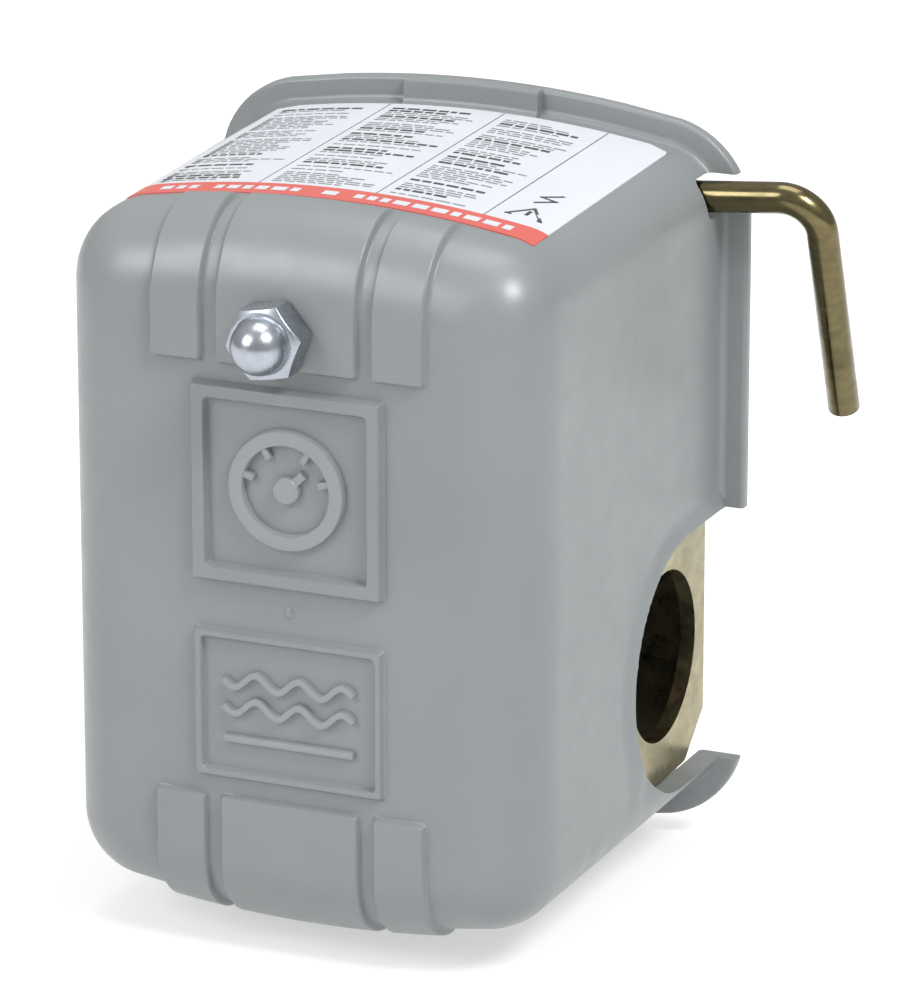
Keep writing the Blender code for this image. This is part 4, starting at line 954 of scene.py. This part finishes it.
def build_frame():
    w, low, high = 27 * MM, -59.5 * MM, 27 * MM
    foot, shoulder, corner = 5 * MM, 9 * MM, 1.5 * MM
    outline = rounded(
        [
            (-w, low + foot, corner), (-w + foot, low, corner),
            (w - foot, low, corner), (w, low + foot, corner),
            (w, high - shoulder, corner), (w - shoulder, high, corner),
            (-w + shoulder, high, corner), (-w, high - shoulder, corner),
        ]
    )
    steps = []
    for side in (1, -1):
        seam = 0.05 * MM
        profile = [
            (22 * MM, PLATE_BACK - seam, 0), (EAR_X, PLATE_BACK - seam, 1.3 * MM),
            (EAR_X, EAR_FRONT - 1 * MM, 0), (EAR_X - 2 * MM, EAR_FRONT - 1 * MM, 0),
            (EAR_X - 2 * MM, PLATE_FRONT + seam, 0.4 * MM), (22 * MM, PLATE_FRONT + seam, 0),
        ]
        bent = [(side * x, y) for x, y in rounded(profile, 8)]
        ear = prism(bent, EAR_Z[0] - 1 * MM, EAR_Z[1] + 1 * MM, "Z")
        back, beyond = PLATE_BACK + 1 * MM, 6 * MM
        keep = rounded(
            [
                (back, EAR_Z[1], 0), (EAR_FRONT, EAR_Z[1], 16.6 * MM), (EAR_FRONT, EAR_Z[0], 16.8 * MM),
                (-37 * MM, EAR_Z[0], 2 * MM), (back, EAR_Z[0] + 7 * MM, 0),
            ],
            20,
        )
        front = EAR_FRONT - beyond
        low_far, high_far = EAR_Z[0] - beyond, EAR_Z[1] + beyond
        far = [(back, low_far), (front, low_far), (front, high_far), (back, high_far)]
        waste = prism(keep + far, *sorted((side * 21 * MM, side * 35 * MM)), "X")
        shaped = bmesh.new()
        shaped.from_mesh(carved(ear, ("DIFFERENCE", waste)))
        steps.append(("UNION", shaped))
    foot, tip = PLATE_FRONT + 1 * MM, PIVOT_Y - 3.2 * MM
    lug = rounded(
        [
            (foot, PIVOT_Z - 5 * MM, 0), (foot, PIVOT_Z + 5 * MM, 0),
            (tip, PIVOT_Z + 3.2 * MM, 3 * MM), (tip, PIVOT_Z - 3.2 * MM, 3 * MM),
        ],
        10,
    )
    steps.append(("UNION", merged(
        prism(lug, 15.8 * MM, 17.4 * MM, "X"),
        prism(lug, -17.4 * MM, -15.8 * MM, "X"),
        box((-4 * MM, -44.5 * MM, -48.3 * MM), (4 * MM, PLATE_FRONT + 1 * MM, -46.8 * MM)),
    )))
    front, back = PLATE_FRONT - 1 * MM, PLATE_BACK + 1 * MM
    holes = [cylinder(10.5 * MM, front, back, sides=96)]
    holes.append(cylinder(2.4 * MM, front, back, (RANGE_X, RANGE_Z)))
    holes.append(cylinder(2.05 * MM, front, back, (DIFFERENTIAL_X, DIFFERENTIAL_Z)))
    screws = (
        *HOUSING_SCREWS, (22.5 * MM, -18.5 * MM), (-22.5 * MM, -18.5 * MM),
        (-20 * MM, 18.5 * MM), (-20 * MM, -52 * MM),
    )
    holes += [cylinder(SCREW_HOLE, front, back, spot, sides=36) for spot in screws]
    steps.append(("DIFFERENCE", merged(*holes)))
    conduit = circle(11.1 * MM, 96, (NOTCH_Y, NOTCH_Z))
    steps.append(("DIFFERENCE", merged(
        prism(conduit, 25 * MM, 35 * MM, "X"),
        prism(conduit, -35 * MM, -25 * MM, "X"),
        cylinder(1.8 * MM, -20 * MM, 20 * MM, (PIVOT_Y, PIVOT_Z), "X", 32),
    )))
    mesh = carved(prism(outline, PLATE_FRONT, PLATE_BACK), *steps)
    item = placed("frame_pressing", mesh, YELLOW_ZINC, "base", ["frame"], 30)
    soften(item, 0.18 * MM, 45)


def build_pressure_flange():
    front, back, boss = -28.1 * MM, -19.7 * MM, -14.5 * MM
    rim = 24.0 * MM
    profile = [
        (0, front), (rim - 0.3 * MM, front), (rim, front + 0.3 * MM), (rim, back - 1.2 * MM),
        (rim - 0.35 * MM, back - 0.35 * MM), (rim - 1.2 * MM, back), (17.4 * MM, back),
        (16.2 * MM, back + 0.35 * MM), (15.2 * MM, back + 1.2 * MM), (12.9 * MM, boss - 0.9 * MM),
        (12.4 * MM, boss), (0, boss),
    ]
    hexagon = prism(circle(22.2 * MM / math.sqrt(3), 6, start=math.pi / 6), boss - 2 * MM, 1 * MM)
    base = boss - 3 * MM
    cone = turned([(0, base), (14 * MM, base), (14 * MM, -1.1 * MM), (11.0 * MM, 0), (0, 0)], 96)
    boss_shape = bmesh.new()
    boss_shape.from_mesh(carved(cone, ("INTERSECT", hexagon)))
    chamber = front + 3.2 * MM
    hollow = [
        (0, front - 1 * MM), (15 * MM, front - 1 * MM), (15 * MM, chamber), (2.5 * MM, chamber),
        (2.5 * MM, -13 * MM), (5.2 * MM, -12 * MM),
    ]
    for k in range(11):
        y = (-11.6 + k * 1.0) * MM
        hollow += [(5.25 * MM, y), (5.75 * MM, y + 0.5 * MM)]
    hollow += [(5.6 * MM, -0.9 * MM), (7.0 * MM, 0.4 * MM), (0, 0.4 * MM)]
    holes = [turned(hollow, 80)]
    for spot in HOUSING_SCREWS:
        holes.append(cylinder(SCREW_HOLE, front - 1 * MM, back + 1 * MM, spot, sides=36))
    mesh = carved(turned(profile, 120), ("UNION", boss_shape), ("DIFFERENCE", merged(*holes)))
    item = placed("pressure_casting", mesh, CAST, "base", ["pressure_flange"], 28)
    soften(item, 0.2 * MM, 32)


def dress_cad():
    """Materials and softened edges for the solids that are shown as they are."""
    slots = {entry["node"]: entry["material_slot"] for entry in frame["record"]["subparts"]}
    for name, item in frame["nodes"].items():
        item.data.materials.clear()
        item.data.materials.append(SLOTS[slots[name]])
        if item.hide_render:
            continue
        item.data.shade_smooth()
        item.data.set_sharp_from_angle(angle=math.radians(32))
        if not name.startswith(("pin_clip", "lever_clip", "contact_spring")):
            soften(item, 0.15 * MM, 40)


# --- Stage ---------------------------------------------------------------------------------


def area_light(name, place, target, size, power):
    data = bpy.data.lights.new(name, "AREA")
    data.shape = "SQUARE"
    data.size, data.energy = size, power
    item = bpy.data.objects.new(name, data)
    item.location = place
    item.rotation_euler = (Vector(target) - Vector(place)).to_track_quat("-Z", "Y").to_euler()
    bpy.context.scene.collection.objects.link(item)


def build_stage():
    scene = bpy.context.scene
    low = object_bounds()[0]
    floor_mesh = bpy.data.meshes.new("floor")
    z = low.z - 0.0004
    floor_mesh.from_pydata([(-3, -3, z), (3, -3, z), (3, 3, z), (-3, 3, z)], [], [(0, 1, 2, 3)])
    floor = bpy.data.objects.new("floor", floor_mesh)
    scene.collection.objects.link(floor)
    paper, tree, shader, where = start_material("paper", 0.0)
    cloud = ramp(tree, noise(tree, where, 8, 3), 0.3, 0.7, 0, 1)
    link(tree, blended(tree, cloud, (0.56, 0.56, 0.56), (0.54, 0.54, 0.54)), shader.inputs["Base Color"])
    shader.inputs["Roughness"].default_value = 0.9
    shader.inputs["Emission Color"].default_value = (1, 1, 1, 1)
    shader.inputs["Emission Strength"].default_value = 0.5
    floor_mesh.materials.append(paper)
    world = bpy.data.worlds.new("studio")
    world.use_nodes = True
    sky = world.node_tree
    height = sky.nodes.new("ShaderNodeSeparateXYZ")
    sky.links.new(sky.nodes.new("ShaderNodeTexCoord").outputs["Generated"], height.inputs["Vector"])
    glow = ramp(sky, height.outputs["Z"], 0.0, 0.95, 0.0, 1.0)
    back = sky.nodes["Background"]
    link(sky, blended(sky, glow, (0.62, 0.62, 0.62), (0.95, 0.95, 0.95)), back.inputs["Color"])
    back.inputs["Strength"].default_value = 0.72
    scene.world = world
    centre = (0, -0.05, -0.01)
    area_light("key", (-0.50, -0.85, 0.60), centre, 0.5, 5.4)
    area_light("top", (0.0, 0.1, 1.0), centre, 0.6, 3.6)
    area_light("glow", (0.66, -0.36, 0.81), centre, 0.32, 8.5)
    scene.view_settings.view_transform = "Standard"


def build_camera():
    turn, tip = math.radians(23.02), math.radians(18.37)
    ahead = Vector((-math.sin(turn) * math.cos(tip), math.cos(turn) * math.cos(tip), -math.sin(tip)))
    data = bpy.data.cameras.new("camera")
    data.sensor_width = 36
    data.lens = 234
    data.clip_start, data.clip_end = 0.05, 20
    item = bpy.data.objects.new("camera", data)
    item.rotation_mode = "QUATERNION"
    item.rotation_quaternion = ahead.to_track_quat("-Z", "Y")
    item.location = Vector((0.0216, -0.093, -0.0032)) - ahead * 0.7705
    bpy.context.scene.collection.objects.link(item)
    bpy.context.scene.camera = item


build_cover()
build_emblems()
build_label()
build_cap_nut()
build_lever()
build_springs()
build_frame()
build_pressure_flange()
dress_cad()
build_stage()
build_camera()
